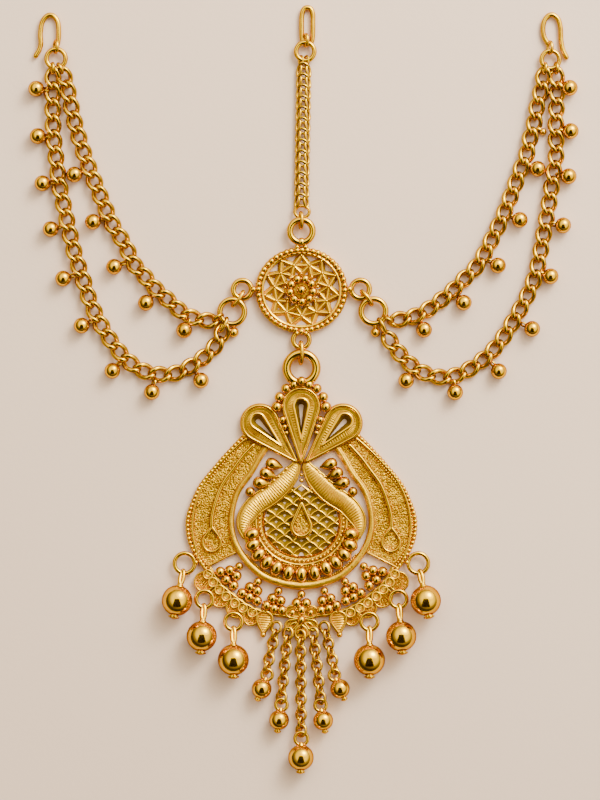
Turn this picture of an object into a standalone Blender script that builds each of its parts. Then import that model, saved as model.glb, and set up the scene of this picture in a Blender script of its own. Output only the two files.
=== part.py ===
"""Matha patti: a gold head ornament lying face up, with hooks, chains, a medallion and a pendant with drops.

Metres, +Z up. +X is the wearer's left as it lies face up and +Y runs from the pendant up to the hooks.
"""

import math

import bmesh
import bpy
from mathutils import Matrix, Vector

# Fits and shared wire
CLEARANCE = 0.0003
LINK_WIRE = 0.00095
BALL_SIDES = 10
RING_SIDES = 10
HALF_TURN_STEPS = 4

# Medallion
MEDALLION_WIDTH = 0.0278
MEDALLION_HEIGHT = 0.0258
MEDALLION_RIM_WIDTH = 0.0022
MEDALLION_RIM_THICKNESS = 0.0026
STAR_POINTS = 11
STAR_PLATE_THICKNESS = 0.0006
STAR_PLATE_HEIGHT = 0.0008
STAR_STRIP = 0.0006
CLUSTER_BALL_COUNT = 9
CLUSTER_BALL_RADIUS = 0.00105
CLUSTER_RING_RADIUS = 0.0033
TOP_RING_RADIUS = 0.0043
TOP_RING_WIRE = 0.0017
SIDE_EYE_RADIUS = 0.0034
SIDE_EYE_WIRE = 0.0014
BOTTOM_EYE_RADIUS = 0.0030
BOTTOM_EYE_WIRE = 0.0012
SOLDER_BALL_RADIUS = 0.0012

# Pendant
PENDANT_WIDTH = 0.0693
PENDANT_HEIGHT = 0.0780
PENDANT_RING_RADIUS = 0.0055
PENDANT_RING_WIRE = 0.0022
WING_THICKNESS = 0.0012
HOOP_WIRE = 0.0020
HOOP_HEIGHT = 0.0014
RIM_WIRE = 0.0006
ARC_WIRE = 0.0008
PETAL_LENGTH = 0.0229
SIDE_PETAL_LENGTH = 0.0212
PETAL_HALF_WIDTH = 0.0056
PETAL_HOLE_LENGTH = 0.0116
PETAL_HOLE_HALF_WIDTH = 0.0019
PETAL_HOLE_START = 0.0078
PETAL_TURN = math.radians(41.0)
PETAL_BOTTOM = 0.0004
PETAL_THICKNESS = 0.0022
LEAF_HALF_THICKNESS = 0.0011
LATTICE_THICKNESS = 0.0006
LATTICE_BOTTOM = 0.0009
LATTICE_HALF_PITCH_X = 0.00255
LATTICE_HALF_PITCH_Y = 0.00186
LATTICE_STRIP = 0.0005
EGG_RADIUS = 0.00165
EGG_LENGTH = 0.0026
GRAIN_RADIUS = 0.00126
CROWN_BALL_RADIUS = 0.00135
LOBE_RADIUS = 0.0032
LOBE_THICKNESS = 0.0010
SMALL_LEAF_LENGTH = 0.0057
SMALL_LEAF_HALF_WIDTH = 0.0023
DROP_RING_RADIUS = 0.0033
DROP_RING_WIRE = 0.0009

# Drops
DROP_BALL_RADIUS = 0.0045
BAIL_WIRE = 0.0010
CAP_RADIUS = 0.0017
CAP_LENGTH = 0.0007

# Tassel
TASSEL_CHAIN_WIDTH = 0.0036
TASSEL_END_RING_RADIUS = 0.0021
TASSEL_BALL_RADIUS = 0.0030
TASSEL_CENTRE_BALL_RADIUS = 0.0038

# Side rings, hooks and side chains
SIDE_RING_RADIUS = 0.0045
SIDE_RING_WIRE = 0.0015
SIDE_RING_FALL = math.radians(65.0)
SIDE_RING_BALL_RADIUS = 0.0015
HOOK_RING_RADIUS = 0.0034
HOOK_RING_WIRE = 0.0011
HOOK_WIRE = 0.0013
HOOK_HEIGHT = 0.0137
HOOK_WIDTH = 0.0071
CENTRE_HOOK_HEIGHT = 0.0138
CENTRE_HOOK_WIDTH = 0.0034
CHAIN_WIDTH = 0.0042
CHAIN_THICKNESS = 0.0024
CHAIN_BEAD_RADIUS = 0.0023
CHAIN_BEAD_NECK = 0.0008
CHAIN_POINT_SPACING = 0.0070
CHAIN_END_LINK = 0.0030
CHAIN_RISE = 0.0080

# Centre chain
CENTRE_CHAIN_WIDTH = 0.0047
CENTRE_CHAIN_THICKNESS = 0.0026
CENTRE_CHAIN_LENGTH = 0.0400
CENTRE_CHAIN_PITCH = 0.0033
CENTRE_CHAIN_WAVE = 0.0004
JUMP_LOOP_WIDTH = 0.0054
JUMP_LOOP_LENGTH = 0.0051

# Rings lie in one plane, high enough for the tallest upright link to pass under them
RING_PLANE = PENDANT_RING_WIRE / 2 + CLEARANCE + LINK_WIRE
DROP_RING_PLANE = DROP_RING_WIRE / 2 + CLEARANCE + BAIL_WIRE

# Routes of the side chains, in metres from the medallion's centre, from the hook to the side ring
OUTER_LEFT_ROUTE = (
    (-0.0748, 0.0605), (-0.0746, 0.0536), (-0.0743, 0.0464), (-0.0736, 0.0398), (-0.0711, 0.0247),
    (-0.0677, 0.0100), (-0.0633, -0.0034), (-0.0574, -0.0147), (-0.0496, -0.0230), (-0.0429, -0.0252),
    (-0.0353, -0.0240), (-0.0290, -0.0196),
)
INNER_LEFT_ROUTE = (
    (-0.0702, 0.0610), (-0.0693, 0.0560), (-0.0680, 0.0508), (-0.0661, 0.0440), (-0.0614, 0.0311),
    (-0.0562, 0.0190), (-0.0507, 0.0085), (-0.0451, 0.0017), (-0.0390, -0.0038), (-0.0344, -0.0073),
)
OUTER_RIGHT_ROUTE = (
    (0.0768, 0.0605), (0.0768, 0.0560), (0.0764, 0.0509), (0.0763, 0.0411), (0.0743, 0.0266),
    (0.0717, 0.0119), (0.0676, -0.0018), (0.0611, -0.0132), (0.0529, -0.0219), (0.0436, -0.0261),
    (0.0354, -0.0240), (0.0290, -0.0196),
)
INNER_RIGHT_ROUTE = (
    (0.0720, 0.0610), (0.0711, 0.0560), (0.0698, 0.0503), (0.0676, 0.0411), (0.0642, 0.0323),
    (0.0611, 0.0240), (0.0570, 0.0152), (0.0524, 0.0070), (0.0451, -0.0002), (0.0388, -0.0050),
    (0.0344, -0.0073),
)

# Where the beads hang along each route, as shares of its length
OUTER_BEAD_SHARES = (0.045, 0.153, 0.261, 0.368, 0.482, 0.593, 0.703, 0.789, 0.878)
INNER_BEAD_SHARES = (0.330, 0.488, 0.645, 0.786, 0.925)

# Side hooks, measured from their ring's centre: shares of the hook's width and height
SIDE_HOOK_SHARES = (
    (-0.05, 0.27), (-0.19, 0.38), (-0.26, 0.51), (-0.31, 0.71), (-0.23, 0.88), (0.06, 1.00),
    (0.32, 0.90), (0.42, 0.73), (0.45, 0.50), (0.50, 0.25), (0.69, 0.06),
)
SIDE_HOOK_SPUR_SHARES = ((-0.26, 0.51), (-0.31, 0.36), (-0.36, 0.27))

# Pendant outlines, from the hoop's centre: shares of half its width and of its height
WING_EDGE_SHARES = (
    (0.400, 0.330), (0.506, 0.335), (0.625, 0.281), (0.764, 0.212), (0.883, 0.144), (0.953, 0.078),
    (0.992, 0.025), (1.000, -0.019), (0.983, -0.072), (0.930, -0.125), (0.845, -0.183), (0.573, -0.116),
    (0.610, -0.030), (0.600, 0.040), (0.545, 0.123), (0.436, 0.192), (0.332, 0.269),
)
RIDGE_WIRE_SHARES = ((0.416, 0.290), (0.585, 0.206), (0.685, 0.144), (0.744, 0.078), (0.779, -0.019))
HOOP_SHARES = (
    (0.300, 0.285), (0.436, 0.192), (0.545, 0.123), (0.595, 0.046), (0.610, -0.006), (0.585, -0.068),
    (0.526, -0.125), (0.430, -0.186), (0.274, -0.225), (0.000, -0.243),
)
ARC_SHARES = ((0.800, -0.172), (0.699, -0.235), (0.540, -0.299), (0.341, -0.343), (0.160, -0.360), (0.000, -0.364))
# The S-shaped leaf's middle line with its half width, a share of half the pendant's width
S_LEAF_SHARES = (
    (0.042, 0.240, 0.012), (0.059, 0.208, 0.043), (0.132, 0.162, 0.074), (0.251, 0.110, 0.082),
    (0.390, 0.067, 0.080), (0.474, 0.021, 0.070), (0.505, -0.019, 0.043), (0.496, -0.058, 0.010),
)
LATTICE_HALF_SHARES = (0.329, 0.133)
LATTICE_PLATE_HALF_SHARES = (0.400, 0.172)
LATTICE_NODE_SHARE = 0.095
EGG_RING_HALF_SHARES = (0.434, 0.200)
EGG_COUNT = 13
EGG_STEP = math.radians(12.9)
CENTRE_DROP_TIP_SHARE = 0.074
CENTRE_DROP_LENGTH = 0.0099
CENTRE_DROP_HALF_WIDTH = 0.0031
PANEL_DROP_LENGTH = 0.0073
PANEL_DROP_HALF_WIDTH = 0.0027
UPPER_DROP_SHARES = ((0.257, 0.228), (0.322, 0.191), (0.400, 0.155))
UPPER_BALL_SHARE = (0.440, 0.098)
GRAIN_ROW_SHARES = ((0.122, 0.252), (0.214, 0.212), (0.262, 0.172), (0.282, 0.138))
GRAIN_CLUSTER_SHARES = (
    ((0.534, -0.159), (0.620, -0.185), (0.560, -0.206), (0.714, -0.195), (0.660, -0.227), (0.595, -0.249)),
    ((0.372, -0.224), (0.448, -0.249), (0.381, -0.264), (0.513, -0.272), (0.451, -0.287), (0.384, -0.302)),
    ((0.193, -0.258), (0.253, -0.292), (0.180, -0.302), (0.303, -0.320), (0.237, -0.332), (0.170, -0.338)),
)
CENTRE_GRAIN_SHARES = ((0.000, -0.268), (-0.038, -0.298), (0.038, -0.298), (0.000, -0.328), (0.000, -0.350))
CROWN_BALL_SHARES = ((0.000, 0.531), (0.066, 0.527), (0.125, 0.512), (0.180, 0.476), (0.193, 0.440))
LOBE_SHARES = ((0.845, -0.222), (0.699, -0.283), (0.560, -0.325), (0.451, -0.352))
SMALL_LEAF_TIP_SHARE = (0.345, -0.424)
FLOWER_SHARE = -0.374
FLOWER_PETALS = (
    (0.074, 0.022, 0.0018, 0.0015), (0.080, -0.018, 0.0024, 0.0015), (0.000, -0.040, 0.0013, 0.0020),
)
DROP_RING_SHARES = ((1.004, -0.158), (0.850, -0.292), (0.594, -0.380))
DROP_BALL_SHARES = ((1.072, -0.302), (0.860, -0.441), (0.589, -0.528))
# Tassel chains from the pendant: the top and the ball, the longest one in the middle
TASSEL_TOP_SHARES = ((-0.202, -0.372), (-0.118, -0.428), (0.000, -0.445), (0.118, -0.428), (0.202, -0.372))
TASSEL_BALL_SHARES = ((-0.338, -0.640), (-0.190, -0.760), (0.000, -0.903), (0.190, -0.760), (0.338, -0.640))

GOLD = (0.83, 0.52, 0.11, 1.0)
DEEP_GOLD = (0.76, 0.44, 0.08, 1.0)

parts = None


def clear_scene():
    for obj in list(bpy.data.objects):
        bpy.data.objects.remove(obj)


def make_collection(name):
    collection = bpy.data.collections.new(name)
    bpy.context.scene.collection.children.link(collection)
    return collection


def gold_material(name, colour, roughness):
    material = bpy.data.materials.new(name)
    material.use_nodes = True
    shader = material.node_tree.nodes["Principled BSDF"]
    shader.inputs["Base Color"].default_value = colour
    shader.inputs["Metallic"].default_value = 1.0
    shader.inputs["Roughness"].default_value = roughness
    return material


def weld(mesh, distance=0.000001):
    work = bmesh.new()
    work.from_mesh(mesh)
    bmesh.ops.remove_doubles(work, verts=work.verts, dist=distance)
    bmesh.ops.recalc_face_normals(work, faces=work.faces)
    work.to_mesh(mesh)
    work.free()


def mesh_of(obj):
    """The evaluated mesh of a helper object in its own placement, which then goes away."""
    parts.objects.link(obj)
    graph = bpy.context.evaluated_depsgraph_get()
    mesh = bpy.data.meshes.new_from_object(obj.evaluated_get(graph))
    mesh.transform(obj.matrix_world)
    bpy.data.objects.remove(obj)
    weld(mesh)
    return mesh


def tube(points, radius, resolution=1, closed=False, shares=None, flat=1.0):
    """A wire through the points; shares vary its radius and flat squashes its section upright."""
    curve = bpy.data.curves.new("wire", "CURVE")
    curve.dimensions = "3D"
    curve.bevel_depth = radius
    curve.bevel_resolution = resolution
    curve.use_fill_caps = not closed
    spline = curve.splines.new("POLY")
    spline.points.add(len(points) - 1)
    for index, point in enumerate(points):
        spline.points[index].co = (point[0], point[1], point[2] / flat, 1.0)
        spline.points[index].radius = shares[index] if shares else 1.0
    spline.use_cyclic_u = closed
    wire = bpy.data.objects.new("wire", curve)
    wire.scale = (1.0, 1.0, flat)
    bpy.context.view_layer.update()
    return mesh_of(wire)


def plate(outline, bottom, top, holes=()):
    """A flat outline with its holes cut through, from one height to another."""
    curve = bpy.data.curves.new("plate", "CURVE")
    curve.dimensions = "2D"
    curve.fill_mode = "BOTH"
    curve.extrude = (top - bottom) / 2
    for loop in (outline, *holes):
        spline = curve.splines.new("POLY")
        spline.points.add(len(loop) - 1)
        for index, point in enumerate(loop):
            spline.points[index].co = (point[0], point[1], 0.0, 1.0)
        spline.use_cyclic_u = True
    blank = bpy.data.objects.new("plate", curve)
    mesh = mesh_of(blank)
    mesh.transform(Matrix.Translation((0.0, 0.0, (bottom + top) / 2)))
    return mesh


def ball(centre, radius, rings=4, stretch=(1.0, 1.0, 1.0), turn=0.0):
    """A round bead, which may be stretched along its own axes and turned about the vertical."""
    widen = 1 / math.cos(math.pi / 6) if rings == 3 else 1.0
    mesh = bpy.data.meshes.new("ball")
    work = bmesh.new()
    bmesh.ops.create_uvsphere(work, u_segments=BALL_SIDES, v_segments=rings, radius=radius)
    work.to_mesh(mesh)
    work.free()
    shape = Matrix.Diagonal((stretch[0] * widen, stretch[1] * widen, stretch[2], 1.0))
    mesh.transform(Matrix.Translation(centre) @ Matrix.Rotation(turn, 4, "Z") @ shape)
    return mesh


def flat_ring(centre, outer_radius, wire, sides=RING_SIDES, width_share=1.0):
    """A ring lying flat; width_share makes it oval along X."""
    middle = outer_radius - wire / 2
    points = []
    for index in range(sides):
        angle = 2 * math.pi * (index + 0.5) / sides
        points.append((
            centre[0] + (middle + outer_radius * (width_share - 1)) * math.cos(angle),
            centre[1] + middle * math.sin(angle),
            centre[2],
        ))
    return tube(points, wire / 2, closed=True)


def long_loop(start, end, half_width, wire, across):
    """A wire loop with round ends about the two points, in the plane of its length and across."""
    start, end, across = Vector(start), Vector(end), Vector(across)
    along = (end - start).normalized()
    across = (across - along * across.dot(along)).normalized()
    points = []
    for centre, sign in ((end, 1), (start, -1)):
        for step in range(HALF_TURN_STEPS + 1):
            angle = math.pi * step / HALF_TURN_STEPS
            offset = across * math.cos(angle) + along * math.sin(angle)
            points.append(tuple(centre + offset * half_width * sign))
    return tube(points, wire / 2, closed=True)


def upright_loop(start, end, thickest_bar, wire=LINK_WIRE):
    """An upright link round one wire at each point, clear of the thickest."""
    return long_loop(start, end, thickest_bar / 2 + CLEARANCE + wire / 2, wire, (0, 0, 1))


def short_rod(start, end, radius):
    return tube([start, end], radius, 2)


def fuse(name, meshes, material, location=(0.0, 0.0, 0.0)):
    """One solid of all the meshes, soldered together."""
    first, rest = meshes[0], meshes[1:]
    solid = bpy.data.objects.new(name, first)
    parts.objects.link(solid)
    if rest:
        work = bmesh.new()
        for mesh in rest:
            work.from_mesh(mesh)
        joined = bpy.data.meshes.new("joined")
        work.to_mesh(joined)
        work.free()
        other = bpy.data.objects.new("joined", joined)
        cutters.objects.link(other)
        other.hide_render = True
        union = solid.modifiers.new("solder", "BOOLEAN")
        union.operation = "UNION"
        union.use_self = True
        union.object = other
        graph = bpy.context.evaluated_depsgraph_get()
        fused = bpy.data.meshes.new_from_object(solid.evaluated_get(graph))
        solid.modifiers.clear()
        bpy.data.objects.remove(other)
        solid.data = fused
    solid.data.materials.clear()
    solid.data.materials.append(material)
    solid.data.shade_smooth()
    solid.data.set_sharp_from_angle(angle=math.radians(50))
    solid.location = location
    return solid


def oval(half_x, half_y, sides, centre=(0.0, 0.0)):
    turn = 2 * math.pi / sides
    return [
        (centre[0] + half_x * math.cos(turn * index), centre[1] + half_y * math.sin(turn * index))
        for index in range(sides)
    ]


def teardrop(tip, turn, length, half_width, steps=8):
    """A round end with straight sides to a tip; turn is from +Y, positive towards +X."""
    reach = length - half_width
    lean = math.asin(half_width / reach)
    points = [(0.0, 0.0)]
    for step in range(steps + 1):
        angle = -lean + (math.pi + 2 * lean) * step / steps
        points.append((half_width * math.cos(angle), reach + half_width * math.sin(angle)))
    cosine, sine = math.cos(turn), math.sin(turn)
    return [(tip[0] + x * cosine + y * sine, tip[1] - x * sine + y * cosine) for x, y in points]


def inset(polygon, distance):
    """A convex outline, anticlockwise, with every side moved in by the distance."""
    corners = [Vector(point) for point in polygon]
    moved = []
    for index, corner in enumerate(corners):
        before = (corner - corners[index - 1]).normalized()
        after = (corners[(index + 1) % len(corners)] - corner).normalized()
        bisector = Vector((-before.y - after.y, before.x + after.x)).normalized()
        sine = abs(bisector.x * after.y - bisector.y * after.x)
        moved.append(tuple(corner + bisector * distance / sine))
    return moved


def smooth(points, spacing):
    """Evenly spaced points on a smooth curve through the given ones."""
    ends = [points[0] * 2 - points[1], *points, points[-1] * 2 - points[-2]]
    dense = []
    for index in range(1, len(ends) - 2):
        before, here, there, after = ends[index - 1 : index + 3]
        for step in range(12):
            t = step / 12
            dense.append(0.5 * (
                2 * here + (there - before) * t + (2 * before - 5 * here + 4 * there - after) * t**2
                + (3 * here - before - 3 * there + after) * t**3
            ))
    dense.append(points[-1])
    lengths = [0.0]
    for here, there in zip(dense, dense[1:]):
        lengths.append(lengths[-1] + (there - here).length)
    count = max(2, round(lengths[-1] / spacing))
    even = []
    for index in range(count + 1):
        wanted = lengths[-1] * index / count
        place = max(i for i, length in enumerate(lengths) if length <= wanted + 1e-9)
        place = min(place, len(dense) - 2)
        span = lengths[place + 1] - lengths[place]
        even.append(dense[place].lerp(dense[place + 1], (wanted - lengths[place]) / span))
    return even


def at(share, height=0.0):
    """A point of the pendant from its shares of half the width and of the height."""
    return Vector((share[0] * PENDANT_WIDTH / 2, share[1] * PENDANT_HEIGHT, height))


def mirrored(points):
    return [(-point[0], *point[1:]) for point in points]


def medallion_eyes():
    """Centres of the four rings soldered to the medallion."""
    half_width, half_height = MEDALLION_WIDTH / 2, MEDALLION_HEIGHT / 2
    return {
        "top": Vector((0, half_height + TOP_RING_RADIUS + CLEARANCE, RING_PLANE)),
        "bottom": Vector((0, -half_height - BOTTOM_EYE_RADIUS + BOTTOM_EYE_WIRE * 0.8, RING_PLANE)),
        "left": Vector((-half_width - SIDE_EYE_RADIUS - CLEARANCE, 0, RING_PLANE)),
        "right": Vector((half_width + SIDE_EYE_RADIUS + CLEARANCE, 0, RING_PLANE)),
    }


def star_gaps(half_x, half_y):
    """Triangles between the wires of an interlaced star."""
    def corner(step, share):
        angle = math.pi / 2 + 2 * math.pi * step / STAR_POINTS
        return (half_x * share * math.cos(angle), half_y * share * math.sin(angle))

    rim, crossing, inner = 0.98, 0.70, 0.45
    gaps = []
    for point in range(STAR_POINTS):
        left, right = corner(point - 0.5, crossing), corner(point + 0.5, crossing)
        gaps.append((corner(point, rim), right, left))
        gaps.append((corner(point, inner), left, right))
        gaps.append((corner(point + 1, inner), corner(point, inner), right))
        gaps.append((corner(point, rim), corner(point + 1, rim), right))
    return [inset(gap, STAR_STRIP / 2) for gap in gaps]


def build_medallion():
    half_x, half_y = MEDALLION_WIDTH / 2, MEDALLION_HEIGHT / 2
    inner_x, inner_y = half_x - MEDALLION_RIM_WIDTH, half_y - MEDALLION_RIM_WIDTH
    middle_x, middle_y = (half_x + inner_x) / 2, (half_y + inner_y) / 2
    star_top = STAR_PLATE_HEIGHT + STAR_PLATE_THICKNESS
    meshes = [
        plate(oval(half_x, half_y, 26), 0.0, MEDALLION_RIM_THICKNESS, [oval(inner_x, inner_y, 26)]),
        plate(oval(middle_x, middle_y, 22), STAR_PLATE_HEIGHT, star_top, star_gaps(inner_x, inner_y)),
    ]
    cluster_height = star_top + CLUSTER_BALL_RADIUS * 0.6
    for index in range(CLUSTER_BALL_COUNT):
        angle = math.pi / 2 + 2 * math.pi * index / CLUSTER_BALL_COUNT
        centre = (CLUSTER_RING_RADIUS * math.cos(angle), CLUSTER_RING_RADIUS * math.sin(angle), cluster_height)
        meshes.append(ball(centre, CLUSTER_BALL_RADIUS, 3))
    meshes.append(ball((0, 0, cluster_height + CLUSTER_BALL_RADIUS * 0.3), CLUSTER_BALL_RADIUS * 1.1, 3))
    eyes = medallion_eyes()
    sizes = {
        "top": (TOP_RING_RADIUS, TOP_RING_WIRE),
        "bottom": (BOTTOM_EYE_RADIUS, BOTTOM_EYE_WIRE),
        "left": (SIDE_EYE_RADIUS, SIDE_EYE_WIRE),
        "right": (SIDE_EYE_RADIUS, SIDE_EYE_WIRE),
    }
    for side, (radius, wire) in sizes.items():
        meshes.append(flat_ring(eyes[side], radius, wire))
        inwards = -Vector((eyes[side].x, eyes[side].y, 0)).normalized()
        meshes.append(ball(eyes[side] + inwards * radius, SOLDER_BALL_RADIUS, 3))
    fuse("medallion", meshes, gold_material("medallion_gold", GOLD, 0.28))


def side_ring_centre(side):
    """Centre of the loose ring that carries both chains of a side, -1 left and 1 right."""
    eye = medallion_eyes()["left" if side < 0 else "right"]
    fall = Vector((side * math.cos(SIDE_RING_FALL), -math.sin(SIDE_RING_FALL), 0))
    return eye + fall * (SIDE_EYE_RADIUS + SIDE_RING_RADIUS + CLEARANCE)


def build_side_rings():
    for side, word in ((-1, "left"), (1, "right")):
        centre = side_ring_centre(side)
        reach = SIDE_RING_RADIUS + SIDE_RING_BALL_RADIUS * 0.85
        angle = math.radians(-90 - 3 * side)
        hanging = (reach * math.cos(angle), reach * math.sin(angle), 0)
        meshes = [
            flat_ring((0, 0, 0), SIDE_RING_RADIUS, SIDE_RING_WIRE),
            ball(hanging, SIDE_RING_BALL_RADIUS),
        ]
        fuse(f"side_ring_{word}", meshes, gold_material(f"side_ring_{word}_gold", GOLD, 0.2), centre)
        eye = medallion_eyes()[word]
        fall = (centre - eye).normalized()
        start = eye + fall * (SIDE_EYE_RADIUS - SIDE_EYE_WIRE / 2)
        end = centre - fall * (SIDE_RING_RADIUS - SIDE_RING_WIRE / 2)
        link = upright_loop(start, end, max(SIDE_EYE_WIRE, SIDE_RING_WIRE))
        fuse(f"side_link_{word}", [link], gold_material(f"side_link_{word}_gold", GOLD, 0.2))


def pendant_ring_centre():
    eye = medallion_eyes()["bottom"]
    return eye - Vector((0, BOTTOM_EYE_RADIUS + PENDANT_RING_RADIUS + CLEARANCE, 0))


def pendant_place():
    """The hoop's centre, from which the pendant's shares are measured."""
    crown = at(CROWN_BALL_SHARES[0]).y
    ring = pendant_ring_centre()
    return Vector((0, ring.y - PENDANT_RING_RADIUS + PENDANT_RING_WIRE / 2 - crown, 0))


def build_bottom_link():
    eye, ring = medallion_eyes()["bottom"], pendant_ring_centre()
    start = eye - Vector((0, BOTTOM_EYE_RADIUS - BOTTOM_EYE_WIRE / 2, 0))
    end = ring + Vector((0, PENDANT_RING_RADIUS - PENDANT_RING_WIRE / 2, 0))
    link = upright_loop(start, end, max(BOTTOM_EYE_WIRE, PENDANT_RING_WIRE))
    fuse("pendant_link", [link], gold_material("pendant_link_gold", GOLD, 0.2))


def petal_meshes(tip, turn, length):
    """A teardrop loop of plate with its middle open."""
    hole_tip = (tip[0] + PETAL_HOLE_START * math.sin(turn), tip[1] + PETAL_HOLE_START * math.cos(turn))
    outline = teardrop(tip, turn, length, PETAL_HALF_WIDTH)
    hole = teardrop(hole_tip, turn, PETAL_HOLE_LENGTH, PETAL_HOLE_HALF_WIDTH, 6)
    return [plate(outline, PETAL_BOTTOM, PETAL_BOTTOM + PETAL_THICKNESS, [hole])]


def lattice_meshes():
    """The oval net: diamonds cut through a thin plate, pulled in where they meet its edge."""
    half_x = LATTICE_HALF_SHARES[0] * PENDANT_WIDTH / 2
    half_y = LATTICE_HALF_SHARES[1] * PENDANT_HEIGHT
    node = LATTICE_NODE_SHARE * PENDANT_HEIGHT
    gap_x = LATTICE_HALF_PITCH_X - LATTICE_STRIP * 0.6
    gap_y = LATTICE_HALF_PITCH_Y - LATTICE_STRIP * 0.6
    columns = int(half_x / LATTICE_HALF_PITCH_X) + 1
    rows = int(2 * half_y / LATTICE_HALF_PITCH_Y) + 2
    gaps = []
    for row in range(-1, rows):
        for column in range(-columns, columns + 1):
            if (row + column) % 2 == 0:
                continue
            centre = (column * LATTICE_HALF_PITCH_X, node - row * LATTICE_HALF_PITCH_Y)
            if math.hypot(centre[0] / half_x, centre[1] / half_y) > 0.93:
                continue
            corners = [(gap_x, 0), (0, gap_y), (-gap_x, 0), (0, -gap_y)]
            gap = []
            for dx, dy in corners:
                x, y = centre[0] + dx, centre[1] + dy
                reach = max(1.0, math.hypot(x / half_x, y / half_y))
                gap.append((x / reach, y / reach))
            gaps.append(gap)
    plate_x = LATTICE_PLATE_HALF_SHARES[0] * PENDANT_WIDTH / 2
    plate_y = LATTICE_PLATE_HALF_SHARES[1] * PENDANT_HEIGHT
    return [plate(oval(plate_x, plate_y, 24), LATTICE_BOTTOM, LATTICE_BOTTOM + LATTICE_THICKNESS, gaps)]


def grain_plate(grains):
    """A cluster of grains as one plate with a bump for each: the one at the hoop, then two, then three."""
    middle = sum(grains, Vector()) / len(grains)
    around = [grains[index] for index in (0, 1, 3, 4, 5, 2)]
    outline = []
    for index, grain in enumerate(around):
        following = around[(index + 1) % len(around)]
        valley = (grain + following) / 2
        outline.append(grain + (grain - middle).normalized() * GRAIN_RADIUS)
        outline.append(valley + (valley - middle).normalized() * GRAIN_RADIUS * 0.45)
    return plate([tuple(point.xy) for point in outline], CLEARANCE, CLEARANCE + GRAIN_RADIUS * 2)


def pendant_side(side):
    """Everything that the pendant has on each side, 1 right and -1 left."""
    flip = (lambda points: points) if side > 0 else mirrored
    wing_top = WING_THICKNESS
    meshes = [
        plate(flip([tuple(at(share).xy) for share in WING_EDGE_SHARES]), 0.0, wing_top),
        tube(flip([tuple(at(share, wing_top)) for share in RIDGE_WIRE_SHARES]), RIM_WIRE / 2, 0),
    ]
    ridge_end = at(RIDGE_WIRE_SHARES[-1])
    tip = (side * ridge_end.x, ridge_end.y + RIM_WIRE * 2)
    drop = teardrop(tip, math.pi, PANEL_DROP_LENGTH, PANEL_DROP_HALF_WIDTH, 6)
    meshes.append(plate(drop, wing_top - 0.0002, wing_top + RIM_WIRE / 2))
    leaf = [at(share[:2], LATTICE_BOTTOM + LEAF_HALF_THICKNESS * 0.6) for share in S_LEAF_SHARES]
    widths = [share[2] * PENDANT_WIDTH / 2 for share in S_LEAF_SHARES]
    widest = max(widths)
    shares = [width / widest for width in widths]
    flat = LEAF_HALF_THICKNESS / widest
    meshes.append(tube(flip([tuple(point) for point in leaf]), widest, 2, shares=shares, flat=flat))
    meshes += petal_meshes((side * 0.001, at((0, 0.226)).y), side * PETAL_TURN, SIDE_PETAL_LENGTH)
    for share in UPPER_DROP_SHARES:
        centre = at((side * share[0], share[1]), LATTICE_BOTTOM + 0.0006)
        meshes.append(ball(centre, EGG_RADIUS * 0.75, 3, (1.9, 1.0, 0.9), side * math.radians(15)))
    meshes.append(ball(at((side * UPPER_BALL_SHARE[0], UPPER_BALL_SHARE[1]), HOOP_HEIGHT), GRAIN_RADIUS, 3))
    row = [tuple(at(share, LATTICE_BOTTOM + GRAIN_RADIUS * 0.6)) for share in GRAIN_ROW_SHARES]
    meshes.append(tube(flip(row), GRAIN_RADIUS / 2, 0))
    for cluster in GRAIN_CLUSTER_SHARES:
        meshes.append(grain_plate([at((side * share[0], share[1])) for share in cluster]))
    for share in CROWN_BALL_SHARES[1:]:
        meshes.append(ball(at((side * share[0], share[1]), CROWN_BALL_RADIUS * 1.1), CROWN_BALL_RADIUS, 3))
    for share in LOBE_SHARES:
        centre = at((side * share[0], share[1]))
        lobe = oval(LOBE_RADIUS, LOBE_RADIUS, BALL_SIDES, centre)
        meshes.append(plate(lobe, DROP_RING_PLANE - LOBE_THICKNESS, DROP_RING_PLANE))
    tip = at((side * SMALL_LEAF_TIP_SHARE[0], SMALL_LEAF_TIP_SHARE[1]))
    meshes.append(plate(teardrop(tip, -side * 0.12, SMALL_LEAF_LENGTH, SMALL_LEAF_HALF_WIDTH, 6),
                        WING_THICKNESS * 0.6, WING_THICKNESS * 1.6))
    meshes.append(ball((tip.x, tip.y, WING_THICKNESS), GRAIN_RADIUS * 0.8, 3))
    for share in DROP_RING_SHARES:
        centre = at((side * share[0], share[1]), DROP_RING_PLANE)
        meshes.append(flat_ring(centre, DROP_RING_RADIUS, DROP_RING_WIRE))
    solder = at((side * DROP_RING_SHARES[0][0], DROP_RING_SHARES[0][1]), DROP_RING_PLANE)
    solder.x -= side * DROP_RING_RADIUS
    meshes.append(ball(solder, GRAIN_RADIUS * 0.8, 3))
    return meshes


def across(shares, height):
    """A line of points over both sides, from the right end through the middle to the left end."""
    right = [at(share, height) for share in shares]
    return right + [Vector((-point.x, point.y, point.z)) for point in reversed(right[:-1])]


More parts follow.
